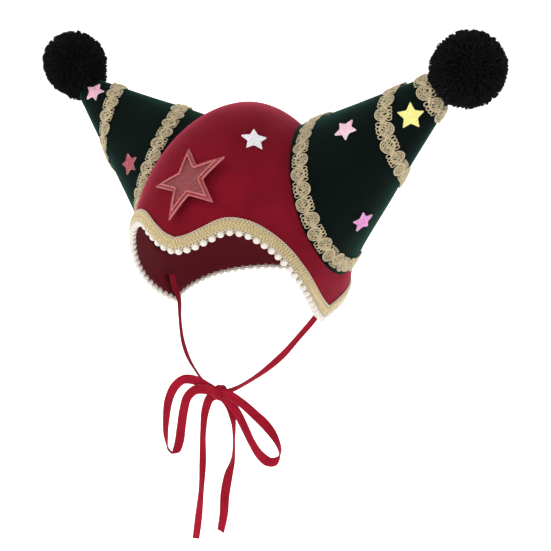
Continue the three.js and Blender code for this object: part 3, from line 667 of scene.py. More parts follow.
def route_line(route, divisions=40):
    """Points along a route's smooth line, close together, and the way that the flat faces at each."""
    rows = np.array(route, float)
    p = rows[:, :3]
    facing, tip = np.radians(rows[:, 3]), np.radians(rows[:, 4])
    level = np.cos(tip)
    flat = np.stack([level * np.sin(facing), -level * np.cos(facing), np.sin(tip)], axis=-1)
    ends = np.concatenate([[2 * p[0] - p[1]], p, [2 * p[-1] - p[-2]]])
    points, flats = [], []
    for i in range(len(p) - 1):
        a, b, c, d = ends[i:i + 4]
        ab, bc, cd = (np.linalg.norm(step) ** 0.5 for step in (b - a, c - b, d - c))
        start = ((b - a) / ab - (c - a) / (ab + bc) + (c - b) / bc) * bc
        end = ((c - b) / bc - (d - b) / (bc + cd) + (d - c) / cd) * bc
        t = np.arange(divisions + (i == len(p) - 2))[:, None] / divisions
        line = b * (2 * t**3 - 3 * t**2 + 1) + start * (t**3 - 2 * t**2 + t)
        points.append(line + c * (3 * t**2 - 2 * t**3) + end * (t**3 - t**2))
        flats.append(flat[i] + (flat[i + 1] - flat[i]) * t)
    return np.concatenate(points), unit(np.concatenate(flats))


def even_steps(points, step, *others):
    """Points again at even steps along their line, and the other rows that go with them."""
    length = run_length(points)
    places = np.linspace(0, length[-1], int(round(length[-1] / step)) + 1)
    return [read_off(places, length, rows) for rows in (points, *others)]


def ribbon_section():
    """Half-round edged outline of a velvet ribbon: a thick pile between two thin woven edges."""
    half, thick = RIBBON_WIDTH / 2, RIBBON_THICKNESS / 2
    side = [
        (half, 0), (half - 0.1, 0.22), (half - 0.55, 0.3), (half - 0.75, thick * 0.85), (half - 1.1, thick),
    ]
    top = side + [(1.3, thick), (0, thick)] + [(-x, y) for x, y in reversed(side)]
    return np.array(top + [(x, -y) for x, y in reversed(top[1:-1])])


WOVEN_EDGE = [0, 1, 10, 11, 12, 13, 22, 23]  # the sides of that outline that the pile stops short of


def ribbon_body(points, flat, seed, slant):
    """Swept ribbon along points, a little waved and cupped. slant is the slope of its far end's cut."""
    rng = np.random.default_rng(seed)
    along = unit(np.gradient(points, axis=0))
    flat = unit(flat - along * np.sum(flat * along, axis=-1, keepdims=True))
    across = np.cross(along, flat)
    length = run_length(points)
    section = ribbon_section()
    x, y = section[:, 0][None, :], section[:, 1][None, :]
    reach = RIBBON_WIDTH / 2
    wave = 0.35 * np.sin(length / rng.uniform(7, 11) + rng.uniform(0, 6))[:, None]
    cup = (0.35 + 0.3 * np.sin(length / 23 + rng.uniform(0, 6)))[:, None]
    height = y + wave * x / reach + cup * (x / reach) ** 2 - cup * 0.4
    fade = np.clip((length[-1] - length) / 8, 0, 1)[:, None]
    shift = slant * x * (1 - fade)
    rings = points[:, None] + across[:, None] * x[..., None] + flat[:, None] * height[..., None]
    rings = rings + along[:, None] * shift[..., None]
    count = len(section)
    faces = [grid_faces(len(points), count, closed_columns=True)]
    half = (count - 2) // 2
    first = np.arange(half)
    cap = np.stack([first, first + 1, (count - first - 1) % count, (count - first) % count], axis=-1)
    faces += [cap, cap[:, ::-1] + (len(points) - 1) * count]
    flat_points = rings.reshape(-1, 3)
    return flat_points, facing_out(flat_points, faces)


RIBBON_STEP = 1.2
SLANTED_CUT, PLAIN_CUT = 0.35, 0.05


def add_ribbons():
    """Straps, loops and tails of velvet ribbon, each a cord from the hat or the knot."""
    for number, (name, (length, far_end, route)) in enumerate(RIBBONS.items()):
        points, flat = route_line(route)
        clear = np.linalg.norm(points - KNOT, axis=1) > KNOT_CORE
        points, flat = even_steps(points[clear], RIBBON_STEP, flat[clear])
        slant = SLANTED_CUT if name == "bow_tail_right" else PLAIN_CUT
        shape = Shape()
        shape.add(*ribbon_body(points, flat, 20 + number, slant))
        band, caps = shape.faces[0], shape.faces[1:]
        woven = np.isin(np.arange(len(band[0])) % len(ribbon_section()), WOVEN_EDGE)
        shape.faces = [(band[0][~woven], 0), (band[0][woven], 1), *caps]
        piece = shape.make(name + "_velvet", "ribbon_red", [RIBBON_RED, RIBBON_WOVEN])
        sharpen(piece, 50)
        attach(piece, "root")
        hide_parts(name)


KNOT_REACH = np.array([6.6, 5.2, 5.3])
KNOT_TURN_STEPS = 40
# Turns drawn over the knot: degrees that their axis leans, way along it, depth and height
KNOT_TURNS = [(10, 1.2, 6.1, 6.1), (-24, -2.2, 5.7, 5.5)]


def add_knot():
    """Knot of one length of ribbon: a creased lump with two turns drawn over it."""
    shape = Shape()
    points, faces = ball(28, 18)
    creases = 1 + 0.07 * np.sin(points[:, 0] * 9 + points[:, 2] * 4) + 0.03 * np.sin(points[:, 2] * 13)
    shape.add(KNOT + points * creases[:, None] * KNOT_REACH, faces)
    section = ribbon_section() * np.array([0.92, 1])
    for tilt, shift, deep, high in KNOT_TURNS:
        a = 2 * np.pi * np.arange(KNOT_TURN_STEPS) / KNOT_TURN_STEPS
        lean = math.radians(tilt)
        axis = np.array([math.cos(lean), 0.12, math.sin(lean)])
        axis = axis / np.linalg.norm(axis)
        up = unit(np.cross(axis, [0, 1.0, 0]))
        fore = np.cross(up, axis)
        line = fore * (deep * np.cos(a))[:, None] + up * (high * np.sin(a))[:, None]
        out = unit(line)
        squeeze = 0.82 + 0.12 * np.cos(2 * a)[:, None]
        rings = KNOT + axis * shift + line[:, None] + axis * (section[:, 0] * squeeze)[..., None]
        bulge = section[:, 1] * 0.8 - 0.05 * section[:, 0] ** 2 + 0.25 * np.sin(section[:, 0] * 3)
        rings = rings + out[:, None] * bulge[None, :, None]
        points = rings.reshape(-1, 3)
        faces = [grid_faces(KNOT_TURN_STEPS, len(section), closed_rows=True, closed_columns=True)]
        shape.add(points, facing_out(points, faces))
    knot = shape.make("bow_knot_velvet", "ribbon_red", [RIBBON_RED])
    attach(knot, "root")
    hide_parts("bow_knot")
    return knot


# Hood and horns

COLUMNS_FRONT = 48  # from the forehead to a flap's tip
COLUMNS_BACK = 44
HOOD_ROWS = 64
HEM_TURNS = (30, 60, 90, 120, 150)  # degrees round the rolled hem
HORN_COLUMNS = 96
CUT_COLUMNS = 72


def hood_angles():
    """Degrees of the hood's columns, with one at each flap's tip."""
    front = FLAP_ANGLE * np.arange(COLUMNS_FRONT) / COLUMNS_FRONT
    back = FLAP_ANGLE + (180 - FLAP_ANGLE) * np.arange(COLUMNS_BACK) / COLUMNS_BACK
    half = np.concatenate([front, back])
    return np.concatenate([half, [180], 360 - half[:0:-1]])


def hood_rows(offset, rows):
    """Rings down the hood from under its top to the rim."""
    angles = hood_angles()
    shares = share_of_level(rim_height(angles))[None, :] * (np.arange(1, rows + 1) / rows)[:, None]
    return hood_point(angles[None, :], crown_level(shares, offset), offset)


def hood_shape():
    """Velvet shell with a rolled hem at its rim, and its lining."""
    angles = hood_angles()
    outside, inside = hood_rows(0, HOOD_ROWS), hood_rows(-HOOD_WALL, HOOD_ROWS)
    hem = []
    for turn in HEM_TURNS:
        a = math.radians(turn)
        offset = -HOOD_WALL / 2 * (1 - math.cos(a))
        edge = hood_point(angles, rim_height(angles), offset)
        edge[:, 2] -= HOOD_WALL / 2 * math.sin(a)
        hem.append(edge)
    rings = np.concatenate([outside, hem, inside[::-1]])
    columns = len(angles)
    tops = hood_point(np.array([0.0]), np.array([TOP - 1e-4])), np.array([[0, 0, 0.0]])
    points = np.concatenate([rings.reshape(-1, 3), tops[0], tops[1]])
    rows = len(rings)
    ring = np.arange(columns)
    first = fan(ring, rows * columns)
    last = fan((rows - 1) * columns + ring, rows * columns + 1, True)
    body = grid_faces(rows, columns, closed_columns=True)[:, ::-1]
    velvet_faces = (HOOD_ROWS + 2) * columns
    shape = Shape()
    shape.add(points, [body[:velvet_faces], first])
    shape.faces += [(body[velvet_faces:], 1), (last, 1)]
    return shape


def horn_rings(side, heights, offset, columns=HORN_COLUMNS):
    """Rings round a horn at shares of its height."""
    turn = np.arange(columns) / columns
    return horn_place(side, turn[None, :], np.asarray(heights, float)[:, None], offset)[0]


def cut_hollows(hood):
    """Opens the hood into the hollow of each horn."""
    for side in HORNS:
        shape = Shape()
        rings = horn_rings(side, (-0.2, 0.1, 0.4), -HORN_WALL, CUT_COLUMNS)
        ends = [rings[0].mean(axis=0), rings[-1].mean(axis=0)]
        points = np.concatenate([rings.reshape(-1, 3), ends])
        ring = np.arange(CUT_COLUMNS)
        caps = [fan(ring, len(points) - 2, True), fan(2 * CUT_COLUMNS + ring, len(points) - 1)]
        body = grid_faces(len(rings), CUT_COLUMNS, closed_columns=True)
        shape.add(points, facing_out(points, [body, *caps]), 1)
        cutter = shape.make("cutter", None, [VELVET_RED, LINING_RED])
        cut = hood.modifiers.new("cut", "BOOLEAN")
        cut.object, cut.solver = cutter, "EXACT"
        bpy.context.view_layer.update()
        whole = hood.evaluated_get(bpy.context.evaluated_depsgraph_get())
        mesh = bpy.data.meshes.new_from_object(whole)
        hood.modifiers.clear()
        hood.data = mesh
        bpy.data.objects.remove(cutter)


def add_hood():
    """Velvet hood, open to both horns."""
    hood = hood_shape().make("hood_velvet", "velvet_red", [VELVET_RED, LINING_RED])
    cut_hollows(hood)
    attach(hood, "root")
    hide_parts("hood")
    return hood


def add_horn(side):
    """Horn of cloth round its hollow, closed at the tip inside the pompom."""
    rise = np.concatenate([[-0.004, 0.001, 0.006, 0.013], np.linspace(0.02, 0.985, 60), [1.0]])
    outside = horn_rings(side, rise, 0)
    middle = outside[-1].mean(axis=0)
    cap = [middle + (outside[-1] - middle) * share for share in (0.8, 0.4)]
    inside = horn_rings(side, np.concatenate([[-0.004], rise[1:-2]]), -HORN_WALL)
    end = inside[-1].mean(axis=0)
    columns = outside.shape[1]
    rings = np.concatenate([inside[::-1], outside, np.array(cap)])
    points = np.concatenate([rings.reshape(-1, 3), [end], [middle]])
    rows = len(rings)
    ring = np.arange(columns)
    first = fan(ring, rows * columns, True)
    last = fan((rows - 1) * columns + ring, rows * columns + 1)
    body = grid_faces(rows, columns, closed_columns=True)
    groups = facing_out(points, [first, body, last])
    shape = Shape()
    shape.add(points, [])
    lining = (len(inside) - 1) * columns
    shape.faces = [(groups[0], 1), (groups[1][:lining], 1), (groups[1][lining:], 0), (groups[2], 0)]
    horn = shape.make("horn_%s_velvet" % side, "velvet_green", [VELVET_GREEN, LINING_GREEN])
    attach(horn, "root")
    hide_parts("horn_" + side)
    return horn


# Scroll braid on the horns

SCROLL_PITCH = 11.5  # from one ring to the next, which lies at the other side of the middle
# Cords that run along the middle of the braid: phase, slow and quick swing across it, thickness
SCROLL_CORE = [
    (0, 3.9, 0, 1.1), (0.35, 3.1, 0, 0.9), (0.4, 2.2, 1.3, 0.85), (3.4, 1.6, 1.6, 0.85), (2.2, 0.6, 2.2, 0.8),
]
SCROLL_CORE_HEIGHT = 1.15
SCROLL_RING_OFFSET = 1.9  # of a ring's middle from the middle of the braid
SCROLL_STEPS = 1300
SCROLL_MARGIN = 0.009  # share of a horn's height that the braid keeps from its seam and its end
SCROLL_END = 3.22  # turns round the horn where the braid ends, over its seam and beside its winding


class ScrollPath:
    """Line of a braid over a horn, with the small steps in turn and height that lead across it."""

    def __init__(self, side, turns, heights):
        self.side = side
        points, outs = horn_place(side, turns, heights)
        self.length = run_length(points)
        self.turns, self.heights = turns, heights
        across = np.cross(outs, unit(np.gradient(points, axis=0)))
        step = 0.002
        by_turn = (horn_place(side, turns + step, heights)[0] - points) / step
        by_height = (horn_place(side, turns, heights + step)[0] - points) / step
        aa, bb = np.sum(by_turn**2, axis=1), np.sum(by_height**2, axis=1)
        ab = np.sum(by_turn * by_height, axis=1)
        ta, tb = np.sum(by_turn * across, axis=1), np.sum(by_height * across, axis=1)
        scale = aa * bb - ab**2
        self.turn_step, self.height_step = (ta * bb - tb * ab) / scale, (tb * aa - ta * ab) / scale

    def place(self, u, v, w):
        """Point over the cloth, u along the braid, v across it and w out, and the way out."""
        u = np.clip(u, 0, self.length[-1])
        rows = (self.turns, self.heights, self.turn_step, self.height_step)
        turn, height, turn_step, height_step = (np.interp(u, self.length, row) for row in rows)
        height = np.clip(height + v * height_step, SCROLL_MARGIN, 1 - SCROLL_MARGIN)
        point, out = horn_place(self.side, turn + v * turn_step, height)
        return point + out * np.asarray(w)[..., None], out


def scroll_strands(flip, rng):
    """Strands of one ring of the braid and its fillings: points (along, across, up), thickness, closed."""
    strands = []
    centre = SCROLL_RING_OFFSET * flip

    def loop(u, v, along, across, height, count, thickness, turn=0.0, lobes=0, depth=0.0):
        a = 2 * np.pi * np.arange(count) / count
        r = 1 + depth * np.cos(lobes * a)
        up = height + 0.2 * np.cos(lobes * a + turn)
        strand = [u + along * r * np.cos(a + turn), v + across * r * np.sin(a + turn), up]
        strands.append((np.stack(strand, axis=-1), thickness, True))

    def arc(reach, thickness, count):
        a = np.radians(np.linspace(-38, 218, count) + rng.uniform(-8, 8)) * flip
        up = 1.3 - 0.6 * ((np.linspace(-1, 1, count)) ** 4)
        strand = [reach * np.cos(a), centre + reach * np.sin(a), up]
        strands.append((np.stack(strand, axis=-1), thickness, False))

    arc(4.75, 1.15, 20)
    arc(3.5, 0.8, 16)
    loop(0, centre * 1.15, 2.1, 2.0, 0.95, 42, 0.66, rng.uniform(0, 1), 6, 0.5)
    for along in (-4.1, -1.4, 1.4, 4.1):
        loop(along + rng.uniform(-0.3, 0.3), (0.1 * abs(along) - 4.5) * flip, 1.3, 2.0, 0.85, 11, 0.82)
    return strands


def add_scroll(side):
    """Looped gold braid that winds down from a horn's tip and then runs on round its seam."""
    shape = Shape()
    rng = np.random.default_rng(31)
    turns = np.linspace(HORNS[side]["start"], SCROLL_END, SCROLL_STEPS)
    joined = SCROLL_WINDING[side][-1][0]
    heights = np.where(turns < joined, smooth_value(SCROLL_WINDING[side], turns), SEAM_SCROLL_HEIGHT)
    path = ScrollPath(side, turns, heights)
    count = int(round(path.length[-1] / SCROLL_PITCH))
    pitch = path.length[-1] / count
    for i in range(count):
        for strand, thickness, closed in scroll_strands(1 if i % 2 else -1, rng):
            u = (i + 0.5) * pitch + strand[:, 0] * pitch / SCROLL_PITCH
            points, outs = path.place(u, strand[:, 1], GAP / 2 + strand[:, 2])
            shape.add(*tube(points, outs, thickness / 2, 5 if thickness > 0.9 else 4, closed))
    u = np.linspace(0, path.length[-1], count * 16)
    for phase, swing, quick, size in SCROLL_CORE:
        across = swing * np.sin(np.pi * u / pitch + phase) + quick * np.sin(5 * np.pi * u / pitch + phase)
        up = SCROLL_CORE_HEIGHT + 0.5 * np.cos(2 * np.pi * u / pitch + phase * 2)
        points, outs = path.place(u, across, GAP / 2 + up)
        shape.add(*tube(points, outs, size / 2, 5))
    piece = shape.make("horn_scroll_%s_cord" % side, "scroll_gold", [SCROLL_GOLD])
    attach(piece, "root")
    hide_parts("horn_scroll_" + side)


# Braid and pearls at the rim

def rim_slant(angle):
    """How much longer the rim is than level at degrees round from the forehead."""
    near = [plain_hood_point(angle + step, rim_height(angle + step)) for step in (-1, 0, 1)]
    run = np.linalg.norm(near[1] - near[0], axis=-1) + np.linalg.norm(near[2] - near[1], axis=-1)
    rise = np.abs(near[2][:, 2] - near[1][:, 2]) + np.abs(near[1][:, 2] - near[0][:, 2])
    return run / np.sqrt(run**2 - rise**2)


def smooth_round(rows, times):
    """Rows of a closed round, evened out with their neighbours some times."""
    for _ in range(times):
        rows = (np.roll(rows, 1, axis=0) + 2 * rows + np.roll(rows, -1, axis=0)) / 4
    return rows


class RimPath:
    """Line of the braid along the rim, counted along its middle."""

    def __init__(self):
        angles = np.arange(0, 360, 0.75)
        self.edge = hood_point(angles, rim_height(angles))
        along = unit(np.roll(self.edge, -1, axis=0) - np.roll(self.edge, 1, axis=0))
        outs = unit(self.edge * np.array([1, 1, 0.12]))
        self.up = unit(smooth_round(np.cross(outs, along), 6))
        self.up *= np.where(self.up[:, 2] < 0, -1, 1)[:, None]
        self.edge = np.concatenate([self.edge, self.edge[:1]])
        self.up = np.concatenate([self.up, self.up[:1]])
        self.length = run_length(self.edge + self.up * RIM_BRAID_WIDTH / 2)

    def place(self, u, v, w):
        """Point over the hood, u along the rim, v up from its edge and w out, and the way out."""
        u = np.mod(u, self.length[-1])
        edge, up = (read_off(u, self.length, rows) for rows in (self.edge, self.up))
        point = edge + up * np.asarray(v)[..., None]
        angle = np.degrees(np.arctan2(point[:, 0], -point[:, 1]))
        on_hood = hood_point(angle, point[:, 2])
        outer = hood_point(angle, point[:, 2], 1.0)
        out = unit(outer - on_hood)
        return on_hood + out * np.asarray(w)[..., None], out


# Heights over the rim's edge and over the cloth of the flat band under the plait
BRAID_BAND = [(0.3, 0.15), (0.6, 0.6), (3.8, 0.75), (7.0, 0.6), (7.3, 0.15)]
BRAID_BAND_STEP = 1.6


def add_rim_braid():
    """Gold braid of a plait of doubled cord with rows of loops along both edges, the outer loops in a paler
    gold as a painted highlight.
    """
    path = RimPath()
    shape = Shape()
    around = path.length[-1]
    count = int(around / BRAID_BAND_STEP)
    u = around * np.arange(count) / count
    rings = [path.place(u, np.full(count, v), np.full(count, w))[0] for v, w in BRAID_BAND]
    shape.add(np.stack(rings, axis=1), grid_faces(count, len(BRAID_BAND), closed_rows=True))
    turns = int(round(around / PLAIT_PITCH))
    count = turns * 16
    u = around * np.arange(count) / count
    for k in range(3):
        swing = 2 * np.pi * (turns * u / around + k / 3)
        for beside in (-0.5, 0.5):
            over = RIM_BRAID_WIDTH / 2 + 2.1 * np.sin(swing) + beside
            points, outs = path.place(u, over, 1.25 + 0.55 * np.sin(2 * swing))
            shape.add(*tube(points, outs, 0.62, 5, True))
    turns = int(round(around / EDGE_LOOP_PITCH))
    count = turns * 12
    phase = 2 * np.pi * turns * np.arange(count) / count
    u = around * np.arange(count) / count + 1.15 * np.sin(phase)
    for edge, way in ((0.2, -1), (RIM_BRAID_WIDTH - 0.2, 1)):
        points, outs = path.place(u, edge + way * 0.95 * np.cos(phase), 0.95 + 0.3 * np.sin(phase))
        # The outer edge loops take the paler gold, a painted highlight
        shape.add(*tube(points, outs, 0.42, 4, True), 1)
        inner = edge - way * 0.9 * (1 - np.cos(phase) * 0.6)
        points, outs = path.place(u + EDGE_LOOP_PITCH / 2, inner, 1.3 - 0.3 * np.sin(phase))
        shape.add(*tube(points, outs, 0.42, 4, True))
    piece = shape.make("rim_braid_cord", "braid_gold", [BRAID_GOLD, BRAID_PAINTED_HIGHLIGHT])
    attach(piece, "root")
    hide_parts("rim_braid")


def add_balls(shape, centres, radius, template, faces):
    """Copies of a ball's points and faces at some centres."""
    points = centres[:, None] + radius * template
    starts = (np.arange(len(centres)) * len(template))[:, None, None]
    groups = [(group[None] + starts).reshape(-1, group.shape[1]) for group in faces]
    shape.add(points, groups)


def add_pearls():
    """Pearls strung under the rim, with a little loop of gold thread from the braid between each two."""
    angles = np.arange(0, 360, 0.5)
    line = hood_point(angles, rim_height(angles), -HOOD_WALL / 2)
    line[:, 2] -= (PEARL_DIAMETER / 2 - PEARL_TUCK) * rim_slant(angles)
    closed = np.concatenate([line, line[:1]])
    length = run_length(closed)
    count = int(round(length[-1] / PEARL_PITCH))

    def at(places):
        return read_off(np.mod(places, length[-1]), length, closed)

    pitch = length[-1] / count
    centres = at((np.arange(count) + 0.5) * pitch)
    shape = Shape()
    template, faces = ball(18, 12)
    add_balls(shape, centres, PEARL_DIAMETER / 2, template, faces)
    u = length[-1] * np.arange(count * 4) / (count * 4)
    outs = unit(at(u) * np.array([1, 1, 0]))
    shape.add(*tube(at(u), outs, 0.45, 6, True), 1)
    for i in range(count):
        middle = at(np.array([i * pitch]))[0]
        before, after = at(np.array([i * pitch - 1.0, i * pitch + 1.0]))
        along = unit(after - before)
        out = unit(middle * np.array([1, 1, 0]))
        up = np.cross(out, along)
        up = up if up[2] > 0 else -up
        a = np.radians(np.linspace(-240, 60, 11))[:, None]
        loop = middle + up * (1.1 + 1.9 * np.sin(a)) + along * 1.0 * np.cos(a) + out * (0.5 + 0.5 * np.sin(a))
        shape.add(*tube(loop, np.broadcast_to(out, loop.shape), 0.36, 4), 1)
    piece = shape.make("rim_pearls_strung", "pearl", [PEARL, BRAID_GOLD])
    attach(piece, "root")
    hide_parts("rim_pearls")


# Pompoms

STRANDS = 6200
TUFTS = 260
TUFT_PULL = 0.22  # how far a strand's end leans to the nearest tuft
YARN_THICKNESS = 1.05
YARN_ROOT = 20.5  # from the middle, where the strands stand on the dark core
YARN_CORE = 23.0
STRAND_RINGS = [(0.0, 1.0), (0.6, 1.0), (0.92, 0.9), (1.0, 0.5)]  # share of the way out, share of thickness


def pompom_place(side):
    """Middle of a pompom, the middle of its horn's tip, the horn's axis and the way between the two."""
    tip, axis, _, up = horn_frame(side)
    horn = HORNS[side]
    tilt = math.radians(horn["tilt"])
    line = axis * math.cos(tilt) + up * math.sin(tilt)
    flip = np.array([horn["sign"], 1, 1])
    return (tip + POMPOM_RADIUS * horn["reach"] * line) * flip, tip * flip, axis * flip, line * flip


def even_ways(count):
    """Directions spread evenly over a ball."""
    k = np.arange(count) + 0.5
    rise, a = np.arccos(1 - 2 * k / count), np.pi * (1 + 5**0.5) * k
    return np.stack([np.sin(rise) * np.cos(a), np.sin(rise) * np.sin(a), np.cos(rise)], axis=-1)


def add_pompom(side, seed):
    """Ball of cut yarn: strands from its core out, gathered a little in tufts, no two alike in length."""
    rng = np.random.default_rng(seed)
    centre, tip, axis, line = pompom_place(side)
    ways = even_ways(STRANDS)
    ways = unit(ways + rng.normal(0, 0.03, ways.shape))
    ways = ways[ways @ line > -0.98]
    count = len(ways)
    tufts = unit(rng.normal(size=(TUFTS, 3)))
    nearest = np.argmax(ways @ tufts.T, axis=1)
    heads = unit(ways + TUFT_PULL * (tufts[nearest] - ways) + rng.normal(0, 0.035, ways.shape))
    reach = POMPOM_RADIUS - 1.2 + rng.uniform(-1.7, 1.0, count) + rng.uniform(-0.7, 0.6, TUFTS)[nearest]

    # Strands round the horn's tip are longer and lap over it, and those over it end at it
    ahead = (centre - tip) @ axis
    aside = np.linalg.norm(centre - tip - axis * ahead)
    lap = math.hypot(aside + HORN_TIP_RADIUS, ahead) + 1 - POMPOM_RADIUS
    reach += lap * np.clip(-(ways @ line) * 4 - 2.6, 0, 1)
    down = -(heads @ axis)
    to_tip = ahead / np.maximum(down, 0.1)
    from_axis = np.linalg.norm(centre + heads * to_tip[:, None] - tip, axis=1)
    over_tip = (down > 0.1) & (from_axis < HORN_TIP_RADIUS)
    reach = np.where(over_tip, np.minimum(reach, to_tip), reach)

    across = unit(np.cross(heads, rng.normal(size=heads.shape)))
    beside = np.cross(heads, across)
    rings = []
    for level, width in STRAND_RINGS:
        out = YARN_ROOT + (reach - YARN_ROOT) * level
        middle = centre + unit(ways + (heads - ways) * level) * out[:, None]
        half = YARN_THICKNESS / 2 * width
        rings.append(np.stack([middle + half * way for way in (across, beside, -across, -beside)], axis=1))
    points = np.stack(rings, axis=1).reshape(-1, 3)
    each = 4 * len(STRAND_RINGS)
    end = [np.arange(each - 4, each)]
    one = np.concatenate([grid_faces(len(STRAND_RINGS), 4, closed_columns=True), end])
    if volume_of(points[:each], [one]) < 0:
        one = one[:, ::-1]
    shape = Shape()
    shape.add(points, (one[None] + (np.arange(count) * each)[:, None, None]).reshape(-1, 4))
    core, core_faces = ball(32, 20)
    shape.add(centre + core * YARN_CORE, core_faces)
    piece = shape.make("pompom_%s_yarn" % side, "yarn_black", [YARN_BLACK])
    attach(piece, "root")
    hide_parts("pompom_" + side)


# Stars

def star_outline(radius, waist, rounding, steps=7):
    """Outline of a five-pointed star whose points and inner corners are rounded a little."""
    i = np.arange(10)
    reach = np.where(i % 2, radius * waist, radius)
    corners = np.stack([reach * np.sin(i * np.pi / 5), reach * np.cos(i * np.pi / 5)], axis=-1)
    before, after = np.roll(corners, 1, axis=0), np.roll(corners, -1, axis=0)
    outline = []
    for k in range(10):
        start = corners[k] + unit(before[k] - corners[k]) * rounding
        end = corners[k] + unit(after[k] - corners[k]) * rounding
        for t in np.linspace(0, 1, 4):
            outline.append(start * (1 - t) ** 2 + 2 * corners[k] * t * (1 - t) + end * t * t)
        following = corners[(k + 1) % 10] + unit(corners[k] - corners[(k + 1) % 10]) * rounding
        for t in np.linspace(0, 1, steps)[1:-1]:
            outline.append(end + (following - end) * t)
    return np.array(outline)


def standing_frame(point, out):
    """A point with the ways across, up and out of a face that stands at it."""
    up = np.array([0, 0, 1.0]) - out * out[2]
    up = up / np.linalg.norm(up)
    return point, np.cross(up, out), up, out


def turned(flat, spin):
    """Flat points turned by some degrees."""
    a = math.radians(spin)
    x, y = flat.T
    return np.stack([x * math.cos(a) - y * math.sin(a), x * math.sin(a) + y * math.cos(a)], axis=-1)


# Share of the outline against share of the thickness, from the cut edge over the glitter to the middle
STAR_LEVELS = [
    (1.0, 0.12), (1.0, 0.75), (0.985, 0.93), (0.95, 1.0), (0.8, 1.02), (0.6, 1.03), (0.4, 1.04), (0.2, 1.05),
]


def add_small_star(name, place, out, size, spin, slot, tree):
    """Foam star stuck on the cloth, with glitter on its face."""
    point, across, up, out = standing_frame(place, out)
    outline = turned(star_outline(size * STAR_RADIUS, STAR_WAIST, 1.1), spin)

    def laid(flat, height):
        return on_cloth(point, across, up, out, flat, GAP / 2 + STAR_THICKNESS * height, tree)

    rings = [laid(outline * share, height) for share, height in STAR_LEVELS]
    centre = np.zeros((1, 2))
    count = len(outline)
    numbers = len(STAR_LEVELS) * count
    points = np.concatenate([*rings, laid(centre, STAR_LEVELS[-1][1]), laid(centre, 0)])
    body = grid_faces(len(STAR_LEVELS), count, closed_columns=True)
    ring = np.arange(count)
    top, bottom = fan(numbers - count + ring, numbers), fan(ring, numbers + 1, True)
    groups = facing_out(points, [body, top, bottom])
    shape = Shape()
    shape.add(points, [])
    rim = 2 * count
    shape.faces = [(groups[0][:rim], 1), (groups[0][rim:], 0), (groups[1], 0), (groups[2], 1)]
    dark, light = GLITTERS[slot]
    face = glitter(slot, dark, light)
    edge = foam(slot + "_edge", tuple(0.6 * a + 0.2 for a in light))
    piece = shape.make(name + "_glitter", slot, [face, edge])
    sharpen(piece, 60)
    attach(piece, "root")
    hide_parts(name)


def on_cloth(point, across, up, out, flat, height, tree):
    """Points of a flat figure laid on the cloth under it, at a height over it."""
    laid = []
    for x, y in flat:
        start = point + across * x + up * y
        hit = tree.ray_cast(Vector((start + out * 25) * MM), Vector(-out), 0.06)[0]
        laid.append((np.array(hit) / MM if hit else start) + out * height)
    return np.array(laid)


def big_star_frame():
    """Where the big star stands on the forehead, and its ways across, up and out."""
    star = BIG_STAR
    angle, z = np.array([star["angle"]]), np.array([TOP - CROWN_HEIGHT * star["depth"]])
    point = plain_hood_point(angle, z)[0]
    around = (plain_hood_point(angle + 1, z) - plain_hood_point(angle - 1, z))[0]
    down = (plain_hood_point(angle, z - 1) - plain_hood_point(angle, z + 1))[0]
    normal = unit(np.cross(down, around))
    normal = normal if normal @ point > 0 else -normal
    tilt, facing = math.radians(star["tilt"]), math.radians(star["facing"])
    out = np.array([math.cos(tilt) * math.sin(facing), -math.cos(tilt) * math.cos(facing), math.sin(tilt)])
    return standing_frame(point + normal * star["lift"], out)


def big_star_rings(outline, levels):
    """Rings of the big star's outline at shares of its size and heights over its back, on its bent plate."""
    point, across, up, out = big_star_frame()
    rings = []
    for share, height in levels:
        flat = outline * share
        dish = np.sum(flat**2, axis=1) / (2 * BIG_STAR["dish"])
        rings.append(point + across * flat[:, :1] + up * flat[:, 1:] + out * (height - dish)[:, None])
    return rings


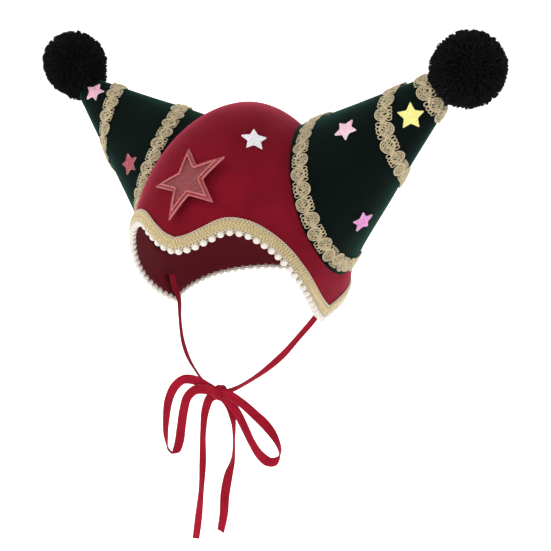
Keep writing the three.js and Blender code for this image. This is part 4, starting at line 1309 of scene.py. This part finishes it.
def add_big_star():
    """Big foam star: a glitter border, a raised line and a darker middle."""
    star = BIG_STAR
    outline = turned(star_outline(star["radius"], star["waist"], 1.6, 12), -star["spin"])
    thick = star["thickness"]
    levels = [
        (0.0, 0), (1.0, 0.05), (1.0, thick - 0.75), (1.005, thick - 0.4), (0.995, thick - 0.1), (0.98, thick),
        (0.92, thick + 0.08), (0.86, thick + 0.06), (0.84, thick - 0.1), (0.72, thick - 0.1), (0.68, thick),
        (0.55, thick + 0.05), (0.4, thick + 0.05), (0.2, thick + 0.1), (0.0, thick + 0.1),
    ]
    rings = np.array(big_star_rings(outline, levels))
    faces = grid_faces(len(levels), len(outline), closed_columns=True)
    faces = facing_out(rings.reshape(-1, 3), [faces])[0]
    row = faces.min(axis=1) // len(outline)
    shape = Shape()
    shape.add(rings, [])
    under, side, middle = row < 2, (row >= 2) & (row < 4), row >= 9
    rest = ~(under | side | middle)
    shape.faces = [(faces[side], 2), (faces[under | rest], 0), (faces[middle], 1)]
    piece = shape.make("big_star_glitter", "glitter_red", [GLITTER_RED, GLITTER_DEEP, FOAM_PALE])
    sharpen(piece, 55)
    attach(piece, "root")
    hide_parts("big_star")
    shape = Shape()
    inner, outer, high = star["inside"] + 0.015, star["edge"] - 0.015, thick + star["height"]
    levels = [
        (inner, thick - 0.1), (inner + 0.012, high), (inner + 0.035, high + 0.25),
        (outer - 0.035, high + 0.25), (outer - 0.012, high), (outer, thick - 0.1),
    ]
    rings = np.array(big_star_rings(outline, levels))
    faces = grid_faces(len(levels), len(outline), closed_rows=True, closed_columns=True)
    shape.add(rings, facing_out(rings.reshape(-1, 3), [faces]))
    piece = shape.make("big_star_edge_glitter", "glitter_red_edge", [GLITTER_EDGE])
    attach(piece, "root")
    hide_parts("big_star_edge")


add_camera()
add_studio()
bow_knot = add_knot()
add_ribbons()
hood = add_hood()
horns = {side: add_horn(side) for side in HORNS}
for side in HORNS:
    add_scroll(side)
add_rim_braid()
add_pearls()
add_pompom("left", 11)
add_pompom("right", 12)
add_big_star()

silver_place = np.array([SILVER_STAR_ANGLE]), np.array([TOP - CROWN_HEIGHT * SILVER_STAR_DEPTH])
silver_point = hood_point(*silver_place)[0]
silver_out = unit(hood_point(*silver_place, 1.0)[0] - silver_point + np.array([0, 0, 0.8]))
add_small_star("star_silver", silver_point, silver_out, 1, 0, "glitter_silver", tree_of(hood))
for name, (side, turn, height, size, spin, slot) in HORN_STARS.items():
    place, out = horn_place(side, turn, height)
    add_small_star(name, place, out, size, spin, slot, tree_of(horns[side]))

bpy.context.scene.view_settings.view_transform = "Standard"
